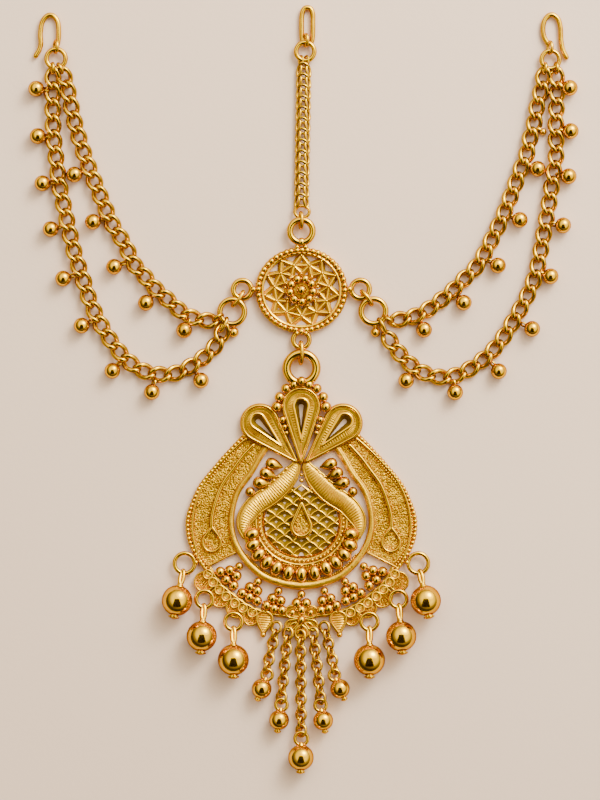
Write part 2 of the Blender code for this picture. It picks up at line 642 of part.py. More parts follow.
def build_pendant():
    ring = pendant_ring_centre() - pendant_place()
    meshes = petal_meshes((0, at((0, 0.224)).y), 0.0, PETAL_LENGTH)
    meshes.append(flat_ring((0, ring.y, RING_PLANE), PENDANT_RING_RADIUS, PENDANT_RING_WIRE, 14))
    meshes.append(ball(at(CROWN_BALL_SHARES[0], RING_PLANE * 0.8), CROWN_BALL_RADIUS * 1.1))
    meshes += pendant_side(1) + pendant_side(-1)
    meshes.append(tube([tuple(point) for point in smooth(across(HOOP_SHARES, HOOP_HEIGHT), 0.0045)], HOOP_WIRE / 2))
    meshes.append(tube([tuple(point) for point in across(ARC_SHARES, WING_THICKNESS)], ARC_WIRE / 2, 0))
    meshes += lattice_meshes()
    egg_x, egg_y = EGG_RING_HALF_SHARES[0] * PENDANT_WIDTH / 2, EGG_RING_HALF_SHARES[1] * PENDANT_HEIGHT
    for index in range(EGG_COUNT):
        angle = math.radians(-90) + EGG_STEP * (index - (EGG_COUNT - 1) / 2)
        centre = (egg_x * math.cos(angle), egg_y * math.sin(angle), LATTICE_BOTTOM + LATTICE_THICKNESS)
        meshes.append(ball(centre, EGG_RADIUS, 3, (EGG_LENGTH / EGG_RADIUS, 1.0, 0.8), angle))
    drop = teardrop((0, at((0, CENTRE_DROP_TIP_SHARE)).y), math.pi, CENTRE_DROP_LENGTH, CENTRE_DROP_HALF_WIDTH)
    meshes.append(plate(drop, LATTICE_BOTTOM - 0.0002, LATTICE_BOTTOM + LATTICE_THICKNESS * 2))
    for share in CENTRE_GRAIN_SHARES:
        meshes.append(ball(at(share, GRAIN_RADIUS + CLEARANCE), GRAIN_RADIUS * 1.2, 3))
    flower = at((0, FLOWER_SHARE), GRAIN_RADIUS * 1.3)
    meshes.append(ball(flower, GRAIN_RADIUS, 3))
    for x, y, half_x, half_y in FLOWER_PETALS:
        for side in ((1, -1) if x else (1,)):
            centre = flower + at((side * x, y))
            stretch = (half_x / GRAIN_RADIUS, half_y / GRAIN_RADIUS, 0.8)
            meshes.append(ball(centre, GRAIN_RADIUS, 3, stretch, side * -0.4 if x else 0.0))
    fuse("pendant", meshes, gold_material("pendant_gold", GOLD, 0.35), pendant_place())


def build_drops():
    """Six hanging beads, each one solid with its bail and cap, lying on its side."""
    place = pendant_place()
    for side, word in ((-1, "left"), (1, "right")):
        for number, (ring_share, ball_share) in enumerate(zip(DROP_RING_SHARES, DROP_BALL_SHARES), 1):
            ring = place + at((side * ring_share[0], ring_share[1]), DROP_RING_PLANE)
            centre = place + at((side * ball_share[0], ball_share[1]), DROP_BALL_RADIUS)
            flat_way = Vector((centre.x - ring.x, centre.y - ring.y, 0)).normalized()
            held = ring + flat_way * (DROP_RING_RADIUS - DROP_RING_WIRE / 2)
            axis = (held - centre).normalized()
            half = DROP_RING_WIRE / 2 + CLEARANCE + BAIL_WIRE / 2
            foot = centre + axis * (DROP_BALL_RADIUS + half)
            bail = long_loop(held, foot, half, BAIL_WIRE, (0, 0, 1))
            cap_start = centre - axis * (DROP_BALL_RADIUS * 0.9)
            cap = short_rod(cap_start, cap_start - axis * (CAP_LENGTH + DROP_BALL_RADIUS * 0.1), CAP_RADIUS)
            meshes = [ball(centre, DROP_BALL_RADIUS, 5), bail, cap]
            fuse(f"drop_{word}_{number}", meshes, gold_material(f"drop_{word}_{number}_gold", DEEP_GOLD, 0.12))


def build_tassel():
    """Five chains with a ball each; a chain is a tube with its end links."""
    place = pendant_place()
    height = TASSEL_CHAIN_WIDTH / 2
    for number, (top_share, ball_share) in enumerate(zip(TASSEL_TOP_SHARES, TASSEL_BALL_SHARES), 1):
        radius = TASSEL_CENTRE_BALL_RADIUS if number == 3 else TASSEL_BALL_RADIUS
        top = place + at(top_share, height)
        centre = place + at(ball_share, radius)
        axis = (Vector((top.x, top.y, height)) - centre)
        axis.z = 0
        axis.normalize()
        level_reach = math.sqrt(radius**2 - (radius - height) ** 2)
        ring = centre + axis * (level_reach + TASSEL_END_RING_RADIUS * 0.72)
        ring.z = height
        held = ring + axis * (TASSEL_END_RING_RADIUS - LINK_WIRE / 2)
        half = TASSEL_CHAIN_WIDTH / 2 - LINK_WIRE / 2
        tube_end = held + axis * (half + LINK_WIRE)
        chain = [
            tube([tuple(top), tuple(tube_end)], TASSEL_CHAIN_WIDTH / 2, 2),
            upright_loop(held, tube_end, LINK_WIRE),
        ]
        fuse(f"tassel_chain_{number}", chain, gold_material(f"tassel_chain_{number}_gold", GOLD, 0.2))
        cap_start = centre - axis * (radius * 0.9)
        end = [
            ball(centre, radius, 5),
            flat_ring(ring, TASSEL_END_RING_RADIUS, LINK_WIRE, 10),
            short_rod(cap_start, cap_start - axis * (CAP_LENGTH + radius * 0.1), CAP_RADIUS * 0.9),
        ]
        fuse(f"tassel_ball_{number}", end, gold_material(f"tassel_ball_{number}_gold", DEEP_GOLD, 0.12))


def hook_ring_centre(side):
    """Centres of the three hook rings: -1 left, 0 middle, 1 right."""
    if side == 0:
        return Vector((0.0006, centre_chain_span()[1] + CLEARANCE + HOOK_RING_RADIUS, RING_PLANE))
    return Vector(((-0.0735, 0.0693), (0.0745, 0.0690))[side > 0]).to_3d() + Vector((0, 0, RING_PLANE))


def hook_height_at(y, height):
    """The hook slopes from its ring down to the surface at its far end."""
    return RING_PLANE + (HOOK_WIRE / 2 - RING_PLANE) * max(0.0, y) / height


def build_hooks():
    for side, word in ((-1, "left"), (0, "centre"), (1, "right")):
        ring = hook_ring_centre(side)
        ring_mesh = flat_ring((0, 0, 0), HOOK_RING_RADIUS, HOOK_RING_WIRE)
        fuse(f"hook_ring_{word}", [ring_mesh], gold_material(f"hook_ring_{word}_gold", GOLD, 0.2), ring)
        bar = ring + Vector((0, HOOK_RING_RADIUS - HOOK_RING_WIRE / 2, 0))
        top = bar + Vector((0, LINK_WIRE * 0.6, 0))
        meshes = [upright_loop(bar, top, HOOK_RING_WIRE)]
        if side == 0:
            meshes += centre_hook_meshes(ring)
        else:
            meshes += side_hook_meshes(ring, side)
        fuse(f"hook_{word}", meshes, gold_material(f"hook_{word}_gold", GOLD, 0.18))


def side_hook_meshes(ring, side):
    def route(shares, spacing):
        points = []
        for share in shares:
            y = share[1] * HOOK_HEIGHT
            points.append(Vector((side * share[0] * HOOK_WIDTH, y, hook_height_at(y, HOOK_HEIGHT) - ring.z)))
        return [tuple(ring + point) for point in smooth(points, spacing)]

    spur = route(SIDE_HOOK_SPUR_SHARES, HOOK_WIRE * 1.2)
    taper = [1.0 - 0.4 * index / (len(spur) - 1) for index in range(len(spur))]
    return [tube(route(SIDE_HOOK_SHARES, HOOK_WIRE * 2), HOOK_WIRE / 2), tube(spur, HOOK_WIRE / 2, shares=taper)]


def centre_hook_meshes(ring):
    """A closed loop of wire whose legs flare a little where they meet the eye."""
    half, height = CENTRE_HOOK_WIDTH / 2, CENTRE_HOOK_HEIGHT
    low = HOOK_RING_RADIUS + CLEARANCE + HOOK_WIRE / 2
    shares = ((0.15, low / height), (0.95, 0.33), (0.85, 0.45), (1.0, 0.70), (0.9, 0.86), (0.0, 0.985))
    right = [Vector((half * x, height * y, hook_height_at(height * y, height) - ring.z)) for x, y in shares]
    left = [Vector((-point.x, point.y, point.z)) for point in reversed(right[:-1])]
    points = smooth(right + left, HOOK_WIRE * 2)
    return [tube([tuple(ring + point) for point in points], HOOK_WIRE / 2)]


def chain_mesh(points, radius, flat):
    """A chain's tube, tapered at both ends and squashed to the chain's thickness."""
    shares = [1.0] * len(points)
    shares[0] = shares[-1] = 0.45
    return tube([tuple(point) for point in points], radius, 2, shares=shares, flat=flat)


def build_side_chain(name, route, hook_side, hook_angle, ring_angle, bead_shares):
    """A side chain from its hook ring to its side ring, with its end links and its beads."""
    hook, ring = hook_ring_centre(hook_side), side_ring_centre(hook_side)
    hook_bar = hook + Vector((math.cos(hook_angle), math.sin(hook_angle), 0)) * (HOOK_RING_RADIUS - HOOK_RING_WIRE / 2)
    outward = Vector((math.cos(ring_angle), math.sin(ring_angle), 0))
    ring_bar = ring + outward * (SIDE_RING_RADIUS - SIDE_RING_WIRE / 2)
    first = Vector((hook_bar.x + 0.25 * (route[0][0] - hook_bar.x), hook_bar.y - CHAIN_END_LINK, 0))
    last = (ring_bar + outward * CHAIN_END_LINK).xy.to_3d()
    points = smooth([first, *(Vector((*point, 0)) for point in route), last], CHAIN_POINT_SPACING)
    lengths = [0.0]
    for here, there in zip(points, points[1:]):
        lengths.append(lengths[-1] + (there - here).length)
    for point, length in zip(points, lengths):
        end = min(length, lengths[-1] - length)
        rise = max(0.0, 1.0 - end / CHAIN_RISE) ** 2
        point.z = CHAIN_THICKNESS / 2 + (RING_PLANE - CHAIN_THICKNESS / 2) * rise
    start_end = (points[0].copy(), points[-1].copy())
    meshes = [
        chain_mesh(points, CHAIN_WIDTH / 2, CHAIN_THICKNESS / CHAIN_WIDTH),
        upright_loop(hook_bar, start_end[0], HOOK_RING_WIRE),
        upright_loop(ring_bar, start_end[1], SIDE_RING_WIRE),
    ]
    turn = -1 if hook_side < 0 else 1
    for share in bead_shares:
        wanted = share * lengths[-1]
        place = max(i for i, length in enumerate(lengths[:-1]) if length <= wanted)
        along = (points[place + 1] - points[place]).normalized()
        on_chain = points[place] + along * (wanted - lengths[place])
        outwards = Vector((-along.y, along.x, 0)).normalized() * turn
        reach = CHAIN_WIDTH / 2 + CHAIN_BEAD_NECK + CHAIN_BEAD_RADIUS
        centre = on_chain + outwards * reach
        centre.z = CHAIN_BEAD_RADIUS
        neck = on_chain + outwards * (CHAIN_WIDTH * 0.3)
        meshes.append(ball(centre, CHAIN_BEAD_RADIUS, 3))
        meshes.append(tube([neck, centre], CHAIN_BEAD_NECK * 0.8, 0))
    fuse(name, meshes, gold_material(f"{name}_gold", GOLD, 0.2))


def build_side_chains():
    down, spread = math.radians(-90), math.radians(28)
    outer, inner = math.radians(-70), math.radians(-17)
    for side, word in ((-1, "left"), (1, "right")):
        outer_route, inner_route = (
            (OUTER_LEFT_ROUTE, INNER_LEFT_ROUTE) if side < 0 else (OUTER_RIGHT_ROUTE, INNER_RIGHT_ROUTE)
        )
        outer_angle = outer if side > 0 else math.pi - outer
        inner_angle = inner if side > 0 else math.pi - inner
        build_side_chain(
            f"outer_chain_{word}", outer_route, side, down + side * spread, outer_angle, OUTER_BEAD_SHARES
        )
        build_side_chain(
            f"inner_chain_{word}", inner_route, side, down - side * spread, inner_angle, INNER_BEAD_SHARES
        )


def centre_chain_span():
    """Lowest and highest Y of the woven band."""
    loop_top = jump_loop_centre().y + JUMP_LOOP_LENGTH / 2
    return loop_top + CLEARANCE, loop_top + CLEARANCE + CENTRE_CHAIN_LENGTH


def jump_loop_centre():
    return medallion_eyes()["top"] + Vector((0, TOP_RING_RADIUS + CLEARANCE + JUMP_LOOP_LENGTH / 2, 0))


def build_centre_chain():
    low, high = centre_chain_span()
    count = round(CENTRE_CHAIN_LENGTH / CENTRE_CHAIN_PITCH)
    half, wave = CENTRE_CHAIN_WIDTH / 2, CENTRE_CHAIN_WAVE
    right = []
    for index in range(2 * count + 1):
        side_reach = half - (wave if index % 2 == 0 else 0.0)
        right.append((side_reach, low + CENTRE_CHAIN_LENGTH * index / (2 * count)))
    outline = right + mirrored(reversed(right))
    top = RING_PLANE + CENTRE_CHAIN_THICKNESS / 2
    band = plate(outline, top - CENTRE_CHAIN_THICKNESS, top)
    loop = jump_loop_centre()
    loop_bar = loop + Vector((0, (JUMP_LOOP_LENGTH - LINK_WIRE) / 2, 0))
    inside = Vector((0, LINK_WIRE * 2.2, 0))
    meshes = [band, upright_loop(loop_bar, loop_bar + inside, LINK_WIRE)]
    ring = hook_ring_centre(0)
    for x in (-0.0008, 0.0008):
        bar = ring + Vector((x, -HOOK_RING_RADIUS + HOOK_RING_WIRE / 2, 0))
        meshes.append(upright_loop(bar, bar - inside, HOOK_RING_WIRE))
    fuse("centre_chain", meshes, gold_material("centre_chain_gold", GOLD, 0.22))
    loop_mesh = flat_ring((0, 0, 0), JUMP_LOOP_LENGTH / 2, LINK_WIRE, width_share=JUMP_LOOP_WIDTH / JUMP_LOOP_LENGTH)
    fuse("jump_loop", [loop_mesh], gold_material("jump_loop_gold", GOLD, 0.2), loop)
    ring_bar = medallion_eyes()["top"] + Vector((0, TOP_RING_RADIUS - TOP_RING_WIRE / 2, 0))
    lower_bar = loop - Vector((0, (JUMP_LOOP_LENGTH - LINK_WIRE) / 2, 0))
    link = upright_loop(ring_bar, lower_bar, TOP_RING_WIRE)
    fuse("medallion_link", [link], gold_material("medallion_link_gold", GOLD, 0.2))


def centre_on_origin():
    """Puts the middle of the whole ornament's box over the origin, through one empty."""
    bpy.context.view_layer.update()
    corners = [
        obj.matrix_world @ vertex.co for obj in parts.objects if obj.type == "MESH" for vertex in obj.data.vertices
    ]
    middle = [(min(c[axis] for c in corners) + max(c[axis] for c in corners)) / 2 for axis in (0, 1)]
    lowest = min(c.z for c in corners)
    root = bpy.data.objects.new("matha_patti_root", None)
    parts.objects.link(root)
    for obj in parts.objects:
        if obj.type == "MESH":
            obj.parent = root
    root.location = (-middle[0], -middle[1], -lowest)


clear_scene()
parts = make_collection("matha_patti")
cutters = make_collection("helpers")
build_hooks()
build_side_chains()
build_centre_chain()
build_medallion()
build_side_rings()
build_bottom_link()
build_pendant()
build_drops()
build_tassel()
centre_on_origin()
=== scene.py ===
"""The looks of a gold matha patti that lies face up on a pale surface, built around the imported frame.

Metres, +Z up. Measures taken from the photograph are in its pixels and become metres through PX.
"""

import math

import bpy
import numpy as np
from mathutils import Matrix, Vector


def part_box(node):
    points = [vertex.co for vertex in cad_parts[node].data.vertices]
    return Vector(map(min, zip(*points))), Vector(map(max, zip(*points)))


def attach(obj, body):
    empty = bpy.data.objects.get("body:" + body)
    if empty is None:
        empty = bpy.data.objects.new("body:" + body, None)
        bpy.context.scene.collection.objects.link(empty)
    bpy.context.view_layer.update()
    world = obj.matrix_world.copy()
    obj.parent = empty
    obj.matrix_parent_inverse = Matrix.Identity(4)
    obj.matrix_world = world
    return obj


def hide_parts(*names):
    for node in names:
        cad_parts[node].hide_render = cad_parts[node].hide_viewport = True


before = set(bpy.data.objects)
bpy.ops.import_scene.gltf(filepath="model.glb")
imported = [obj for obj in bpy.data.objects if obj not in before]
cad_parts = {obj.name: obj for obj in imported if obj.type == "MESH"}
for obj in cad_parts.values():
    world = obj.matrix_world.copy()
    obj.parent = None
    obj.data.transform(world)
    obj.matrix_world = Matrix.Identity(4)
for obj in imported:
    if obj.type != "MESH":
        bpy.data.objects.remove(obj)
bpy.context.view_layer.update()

# The photograph's scale, its size, and the pixels of the medallion's centre and of the pendant's axis
PX = 0.0003
PHOTO_WIDTH, PHOTO_HEIGHT = 600, 800
CENTRE_X, CENTRE_Y = 301.5, 290.3
AXIS_X = 301.4

# Heights over the surface, as in the solids
RING_PLANE = 0.00235
DROP_RING_PLANE = 0.00175
WING_TOP = 0.0012
HOOP_HEIGHT = 0.0014
PETAL_TOP = 0.0024
LATTICE_HEIGHT = 0.0012
CHAIN_HEIGHT = 0.0015

LOW_RING_PLANE = 0.0016
EGG_HEIGHT = 0.0017
EGG_GRAIN_HEIGHT = 0.0014
UPPER_DROP_HEIGHT = 0.0019
UPPER_GRAIN_HEIGHT = 0.0015
CLUSTER_HEIGHT = 0.00145
CLUSTER_GRAIN_HEIGHT = 0.0011
BORDER_HEIGHT = 0.0016
LOBE_TOP = 0.0014
CROWN_BALL_HEIGHT = 0.0024
TOP_BALL_HEIGHT = 0.0036
CENTRE_BALL_HEIGHT = 0.0032
SOLDER_HEIGHT = 0.0022
SIDE_RING_HEIGHT = 0.0018
END_LINK_HEIGHT = 0.0023
BEAD_EYE_HEIGHT = 0.0013
HOOK_HEIGHT = 0.0010
HOOK_EYE_HEIGHT = 0.0021
HOOK_EYE_ROLL = math.radians(66)

# Smoothness of helpers: a ball's flat pole, a teardrop's steps along each straight side, a mesh's sharp angle
POLE_FLAT = 0.02
TIP_STEPS = 10
SHARP_ANGLE = math.radians(40)

MEDALLION_HALF_HEIGHT = 0.0129
TOP_RING_REACH = 0.0089

medallion_low, medallion_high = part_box("medallion")
ORIGIN = Vector((
    (medallion_low.x + medallion_high.x) / 2,
    medallion_high.y - MEDALLION_HALF_HEIGHT - TOP_RING_REACH,
    0.0,
))


def at(x, y, z=0.0):
    """The world point over a pixel of the photograph."""
    return np.array((ORIGIN.x + (x - CENTRE_X) * PX, ORIGIN.y + (CENTRE_Y - y) * PX, z))


def line(pixels, z=0.0):
    """The world points over pixels, all at one height."""
    return np.array([at(x, y, z) for x, y in pixels])


def mirror(pixels):
    return [(2 * AXIS_X - point[0], *point[1:]) for point in pixels]


def same(pixels):
    return pixels


# The right side as given, and the left side as its mirror image
SIDES = ((1, same), (-1, mirror))


def circle(steps):
    return 2 * math.pi * np.arange(steps) / steps


def lengths_along(path):
    return np.concatenate([[0], np.cumsum(np.linalg.norm(np.diff(path[:, :3], axis=0), axis=1))])


def curve_through(points, spacing, closed=False):
    """Evenly spaced points on a smooth curve through the given ones."""
    points = np.asarray(points, float)
    if closed:
        ends = np.vstack([points[-1:], points, points[:2]])
    else:
        ends = np.vstack([2 * points[0] - points[1], points, 2 * points[-1] - points[-2]])
    t = np.linspace(0, 1, 16, endpoint=False)[:, None]
    dense = [
        0.5 * (2 * b + (c - a) * t + (2 * a - 5 * b + 4 * c - d) * t**2 + (3 * b - a - 3 * c + d) * t**3)
        for a, b, c, d in zip(ends, ends[1:], ends[2:], ends[3:])
    ]
    return even(np.vstack([*dense, ends[-2][None]]), spacing, closed)


def even(path, spacing, closed=False):
    """The same path with points at an even spacing; a closed one has its first point at both ends."""
    lengths = lengths_along(path)
    count = max(3, round(lengths[-1] / spacing))
    wanted = np.linspace(0, lengths[-1], count + 1)
    if closed:
        wanted = wanted[:-1]
    return np.column_stack([np.interp(wanted, lengths, path[:, axis]) for axis in range(path.shape[1])])


def curve(pixels, height, spacing, closed=False):
    """A smooth curve through pixels at one height, its spacing in pixels too."""
    return curve_through(line(pixels, height), spacing * PX, closed)


def unit(vectors):
    return vectors / np.linalg.norm(vectors, axis=-1, keepdims=True)


def skin(rings, loop=False):
    """A surface through rings of points, joined into a loop or with a cap at each end."""
    index = np.arange(rings.shape[0] * rings.shape[1]).reshape(rings.shape[:2])
    here, there = (index, np.roll(index, -1, axis=0)) if loop else (index[:-1], index[1:])
    corners = [here, np.roll(here, -1, axis=1), np.roll(there, -1, axis=1), there]
    faces = np.stack(corners, axis=2).reshape(-1, 4).tolist()
    if not loop:
        faces += [index[0, ::-1].tolist(), index[-1].tolist()]
    return rings.reshape(-1, 3), faces


def sweep(path, radius, sides=10, closed=False, normal=(0.0, 0.0, 1.0), flat=1.0):
    """A round wire along the path with rounded ends; normal is roughly square to the path all along."""
    path = np.asarray(path, float)
    radii = np.full(len(path), radius) if np.isscalar(radius) else np.asarray(radius, float)
    if closed:
        along = unit(np.roll(path, -1, 0) - np.roll(path, 1, 0))
    else:
        along = unit(np.gradient(path, axis=0))
        first, last = path[0], path[-1]
        start = [first - along[0] * radii[0] * reach for reach in (0.9, 0.55)]
        end = [last + along[-1] * radii[-1] * reach for reach in (0.55, 0.9)]
        path = np.vstack([start, path, end])
        radii = np.concatenate([radii[0] * np.array((0.3, 0.8)), radii, radii[-1] * np.array((0.8, 0.3))])
        along = np.vstack([along[:1], along[:1], along, along[-1:], along[-1:]])
    normal = np.asarray(normal, float)
    up = unit(normal[None] - along * (along @ normal)[:, None])
    side = np.cross(along, up)
    cosines, sines = (ratio(circle(sides))[None, :, None] for ratio in (np.cos, np.sin))
    section = cosines * side[:, None] + flat * sines * up[:, None]
    return skin(path[:, None] + radii[:, None, None] * section, closed)


def lathe(profile, segments=20):
    """A turned shape about +Z from (radius, height) pairs, lowest first."""
    radii, heights = np.asarray(profile, float).T[:, :, None]
    angles = circle(segments)
    return skin(np.stack([radii * np.cos(angles), radii * np.sin(angles), heights + 0 * angles], axis=2))


def globe(segments, rings):
    """A ball of radius 1 about the origin, with a small flat at each pole."""
    angles = math.pi * np.arange(rings + 1) / rings
    return lathe(np.column_stack([np.maximum(np.sin(angles), POLE_FLAT), -np.cos(angles)]), segments)


SEED = globe(10, 6)
GRAIN = globe(14, 9)
BEAD = globe(28, 18)
BALL = globe(56, 36)


def placed(shape, centre, scale=(1.0, 1.0, 1.0), turn=0.0, aim=None):
    """A copy of a shape, scaled, then turned about +Z or aimed so that its +Z points along aim."""
    points = shape[0] * np.asarray(scale if np.ndim(scale) else (scale,) * 3)
    if aim is None:
        spin = np.array(Matrix.Rotation(turn, 3, "Z"))
    else:
        spin = np.array(Vector(aim).to_track_quat("Z", "Y").to_matrix())
    return points @ spin.T + np.asarray(centre), shape[1]


def ridge(start, end, width, height):
    """A low raised line with a sharp crest, for hatching."""
    start, end = np.asarray(start, float), np.asarray(end, float)
    along = unit(end - start)
    side = np.array((-along[1], along[0], 0.0)) * width / 2
    crest = np.array((0.0, 0.0, height))
    inset = along * width * 0.5
    points = np.array([
        start - side, start + side, end + side, end - side, start + crest + inset, end + crest - inset,
    ])
    return points, [[0, 4, 5, 3], [1, 2, 5, 4], [0, 1, 4], [2, 3, 5], [0, 3, 2, 1]]


def show(name, data):
    """A new object with the given data, in the scene."""
    shown = bpy.data.objects.new(name, data)
    bpy.context.scene.collection.objects.link(shown)
    return shown


def slab(outline, low, high, holes=(), rounding=0.00012):
    """A flat plate from its outline and holes, with softly rounded edges."""
    curve = bpy.data.curves.new("slab", "CURVE")
    curve.dimensions = "2D"
    curve.fill_mode = "BOTH"
    curve.extrude = (high - low) / 2 - rounding
    curve.bevel_depth = rounding
    curve.bevel_resolution = 2
    curve.offset = -rounding
    for loop in (outline, *holes):
        spline = curve.splines.new("POLY")
        spline.points.add(len(loop) - 1)
        for index, point in enumerate(loop):
            spline.points[index].co = (point[0], point[1], 0.0, 1.0)
        spline.use_cyclic_u = True
    helper = show("slab", curve)
    graph = bpy.context.evaluated_depsgraph_get()
    mesh = bpy.data.meshes.new_from_object(helper.evaluated_get(graph))
    points = np.array([tuple(vertex.co) for vertex in mesh.vertices]) + (0.0, 0.0, (low + high) / 2)
    faces = [list(face.vertices) for face in mesh.polygons]
    bpy.data.objects.remove(helper)
    bpy.data.meshes.remove(mesh)
    return points, faces


def rib(path, crest, foot, low, high):
    """A bar with sloping sides along a path, laid under wires as painted shade in the gaps: its widths at the
    top and at the foot, and its heights.
    """
    path = np.asarray(path, float)
    along = unit(np.gradient(path[:, :2], axis=0))
    side = np.column_stack([-along[:, 1], along[:, 0], np.zeros(len(path))])
    base = path * (1, 1, 0)
    corners = np.stack([
        base - side * foot / 2 + (0, 0, low), base + side * foot / 2 + (0, 0, low),
        base + side * crest / 2 + (0, 0, high - crest / 4), base + (0, 0, high),
        base - side * crest / 2 + (0, 0, high - crest / 4),
    ], axis=1)
    return skin(corners[:, ::-1])


def ellipse(centre, half_x, half_y, start, end, steps):
    """Pixels along an ellipse, angles in degrees from straight down, positive to the right."""
    angles = np.radians(np.linspace(start, end, steps))
    return [(centre[0] + half_x * math.sin(a), centre[1] + half_y * math.cos(a)) for a in angles]


def turned(tip, turn, x, y):
    """The pixel at x, y of a frame that stands at tip, turned from straight up, positive to the right."""
    cosine, sine = math.cos(turn), math.sin(turn)
    return (tip[0] + x * cosine + y * sine, tip[1] + x * sine - y * cosine)


def teardrop(tip, turn, length, half_width, steps=28):
    """Pixels round a teardrop: turn is from straight up, positive to the right, towards its round end."""
    reach = length - half_width
    lean = math.asin(half_width / reach)
    local = []
    start = (half_width * math.cos(lean), reach - half_width * math.sin(lean))
    for step in range(TIP_STEPS):
        local.append((start[0] * step / TIP_STEPS, start[1] * step / TIP_STEPS))
    for step in range(steps + 1):
        angle = -lean + (math.pi + 2 * lean) * step / steps
        local.append((half_width * math.cos(angle), reach + half_width * math.sin(angle)))
    for step in range(TIP_STEPS - 1, 0, -1):
        local.append((-start[0] * step / TIP_STEPS, start[1] * step / TIP_STEPS))
    return [turned(tip, turn, x, y) for x, y in local]


class Piece:
    """One mesh gathered from many small shapes in the gold finishes; radii and spacings are in pixels."""

    def __init__(self, name, slot="matte_gold"):
        self.name = name
        self.slot = slot
        self.points = []
        self.faces = []
        self.finishes = []
        self.used = []
        self.count = 0

    def add(self, shape, finish="polished"):
        points, faces = shape
        if finish not in self.used:
            self.used.append(finish)
        self.points.append(points)
        self.faces += [[corner + self.count for corner in face] for face in faces]
        self.finishes += [self.used.index(finish)] * len(faces)
        self.count += len(points)

    def wire(self, path, radius, finish="wire", **details):
        self.add(sweep(path, np.multiply(radius, PX), **details), finish)

    def outline(self, pixels, height, radius, finish="wire", spacing=1.2, **details):
        """A closed wire along an outline."""
        path = even(line([*pixels, pixels[0]], height), spacing * PX, closed=True)
        self.wire(path, radius, finish, closed=True, **details)

    def plate(self, pixels, low, high, finish="satin", holes=(), rounding=0.00012):
        outline, *openings = (line(loop)[:, :2] for loop in (pixels, *holes))
        self.add(slab(outline, low, high, openings, rounding), finish)

    def bead(self, x, y, height, radius, shape=BEAD, finish="polished", aim=None):
        self.add(placed(shape, at(x, y, height), np.multiply(radius, PX), aim=aim), finish)

    def grain(self, x, y, height, radius):
        self.bead(x, y, height, radius, GRAIN, "wire")

    def ring(self, x, y, height, radius, wire, finish="polished", sides=14, steps=48):
        """A round ring of wire that lies flat."""
        angles = circle(steps)
        path = np.column_stack([np.cos(angles), np.sin(angles), np.zeros(steps)]) * radius * PX
        self.wire(path + at(x, y, height), wire, finish, sides=sides, closed=True)

    def link(self, centre, along, half_length, half_width, wire, finish="chain", sides=10, **details):
        """An oval link, which may stand on edge."""
        path = oval(centre, along, half_length * PX, half_width * PX, **details)
        spans = path - path.mean(axis=0)
        normal = unit(np.cross(spans[0], spans[len(path) // 4]))
        self.wire(path, wire, finish, sides=sides, closed=True, normal=normal)

    def beads(self, path, radius, finish="wire", shape=SEED):
        """A bead at each point of a path."""
        for point in path:
            self.add(placed(shape, point, radius * PX), finish)

    def leaf(self, plan, base, crown, comb, edge_rise, edge_spacing, edge_radius):
        """A ribbed leaf with a wire along both of its edges."""
        shape, *edges = ribbed_leaf(plan, base, crown, comb)
        self.add(shape, "satin")
        for edge in edges:
            self.wire(even(edge + (0, 0, edge_rise), edge_spacing * PX), edge_radius)

    def make(self, *nodes):
        """The finished mesh, riding on the one body, in place of its nodes."""
        mesh = bpy.data.meshes.new(self.name)
        mesh.from_pydata(np.vstack(self.points).tolist(), [], self.faces)
        for finish in self.used:
            mesh.materials.append(GOLDS[finish])
        mesh.polygons.foreach_set("material_index", self.finishes)
        mesh.shade_smooth()
        mesh.set_sharp_from_angle(angle=SHARP_ANGLE)
        mesh.update()
        piece = show(self.name, mesh)
        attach(piece, "root")
        if nodes:
            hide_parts(*nodes)


class Nodes:
    """A short way to write a node material."""

    def __init__(self, name):
        self.material = bpy.data.materials.new(name)
        self.material.use_nodes = True
        self.tree = self.material.node_tree
        self.shader = self.tree.nodes["Principled BSDF"]
        self.place = self.tree.nodes.new("ShaderNodeTexCoord").outputs["Object"]

    def new(self, kind, **values):
        node = self.tree.nodes.new(kind)
        for key, value in values.items():
            node.inputs[key].default_value = value
        return node

    def link(self, source, target):
        self.tree.links.new(source, target)

    def noise(self, scale, detail=3.0, roughness=0.55):
        node = self.new("ShaderNodeTexNoise", Scale=scale, Detail=detail, Roughness=roughness)
        self.link(self.place, node.inputs["Vector"])
        return node.outputs["Fac"]

    def ramp(self, source, stops):
        node = self.new("ShaderNodeValToRGB")
        elements = node.color_ramp.elements
        while len(elements) < len(stops):
            elements.new(0.5)
        for element, (position, colour) in zip(elements, stops):
            element.position = position
            element.color = colour if np.ndim(colour) else (colour, colour, colour, 1.0)
        self.link(source, node.inputs["Fac"])
        return node.outputs["Color"]

    def bump(self, source, strength, distance, before=None):
        node = self.new("ShaderNodeBump", Strength=strength, Distance=distance)
        self.link(source, node.inputs["Height"])
        if before is not None:
            self.link(before, node.inputs["Normal"])
        return node.outputs["Normal"]


GOLD_LIGHT = (0.88, 0.51, 0.005)
GOLD_BASE = (0.77, 0.43, 0.002)
GOLD_DEEP = (0.62, 0.32, 0.001)
# The metal's edge tint, set dark: partly gold's own colour at grazing angles, partly painted shade for the
# shaded surface that the edges mirror.
GOLD_EDGE_TINT_AND_SHADE = (0.24, 0.10, 0.001, 1.0)


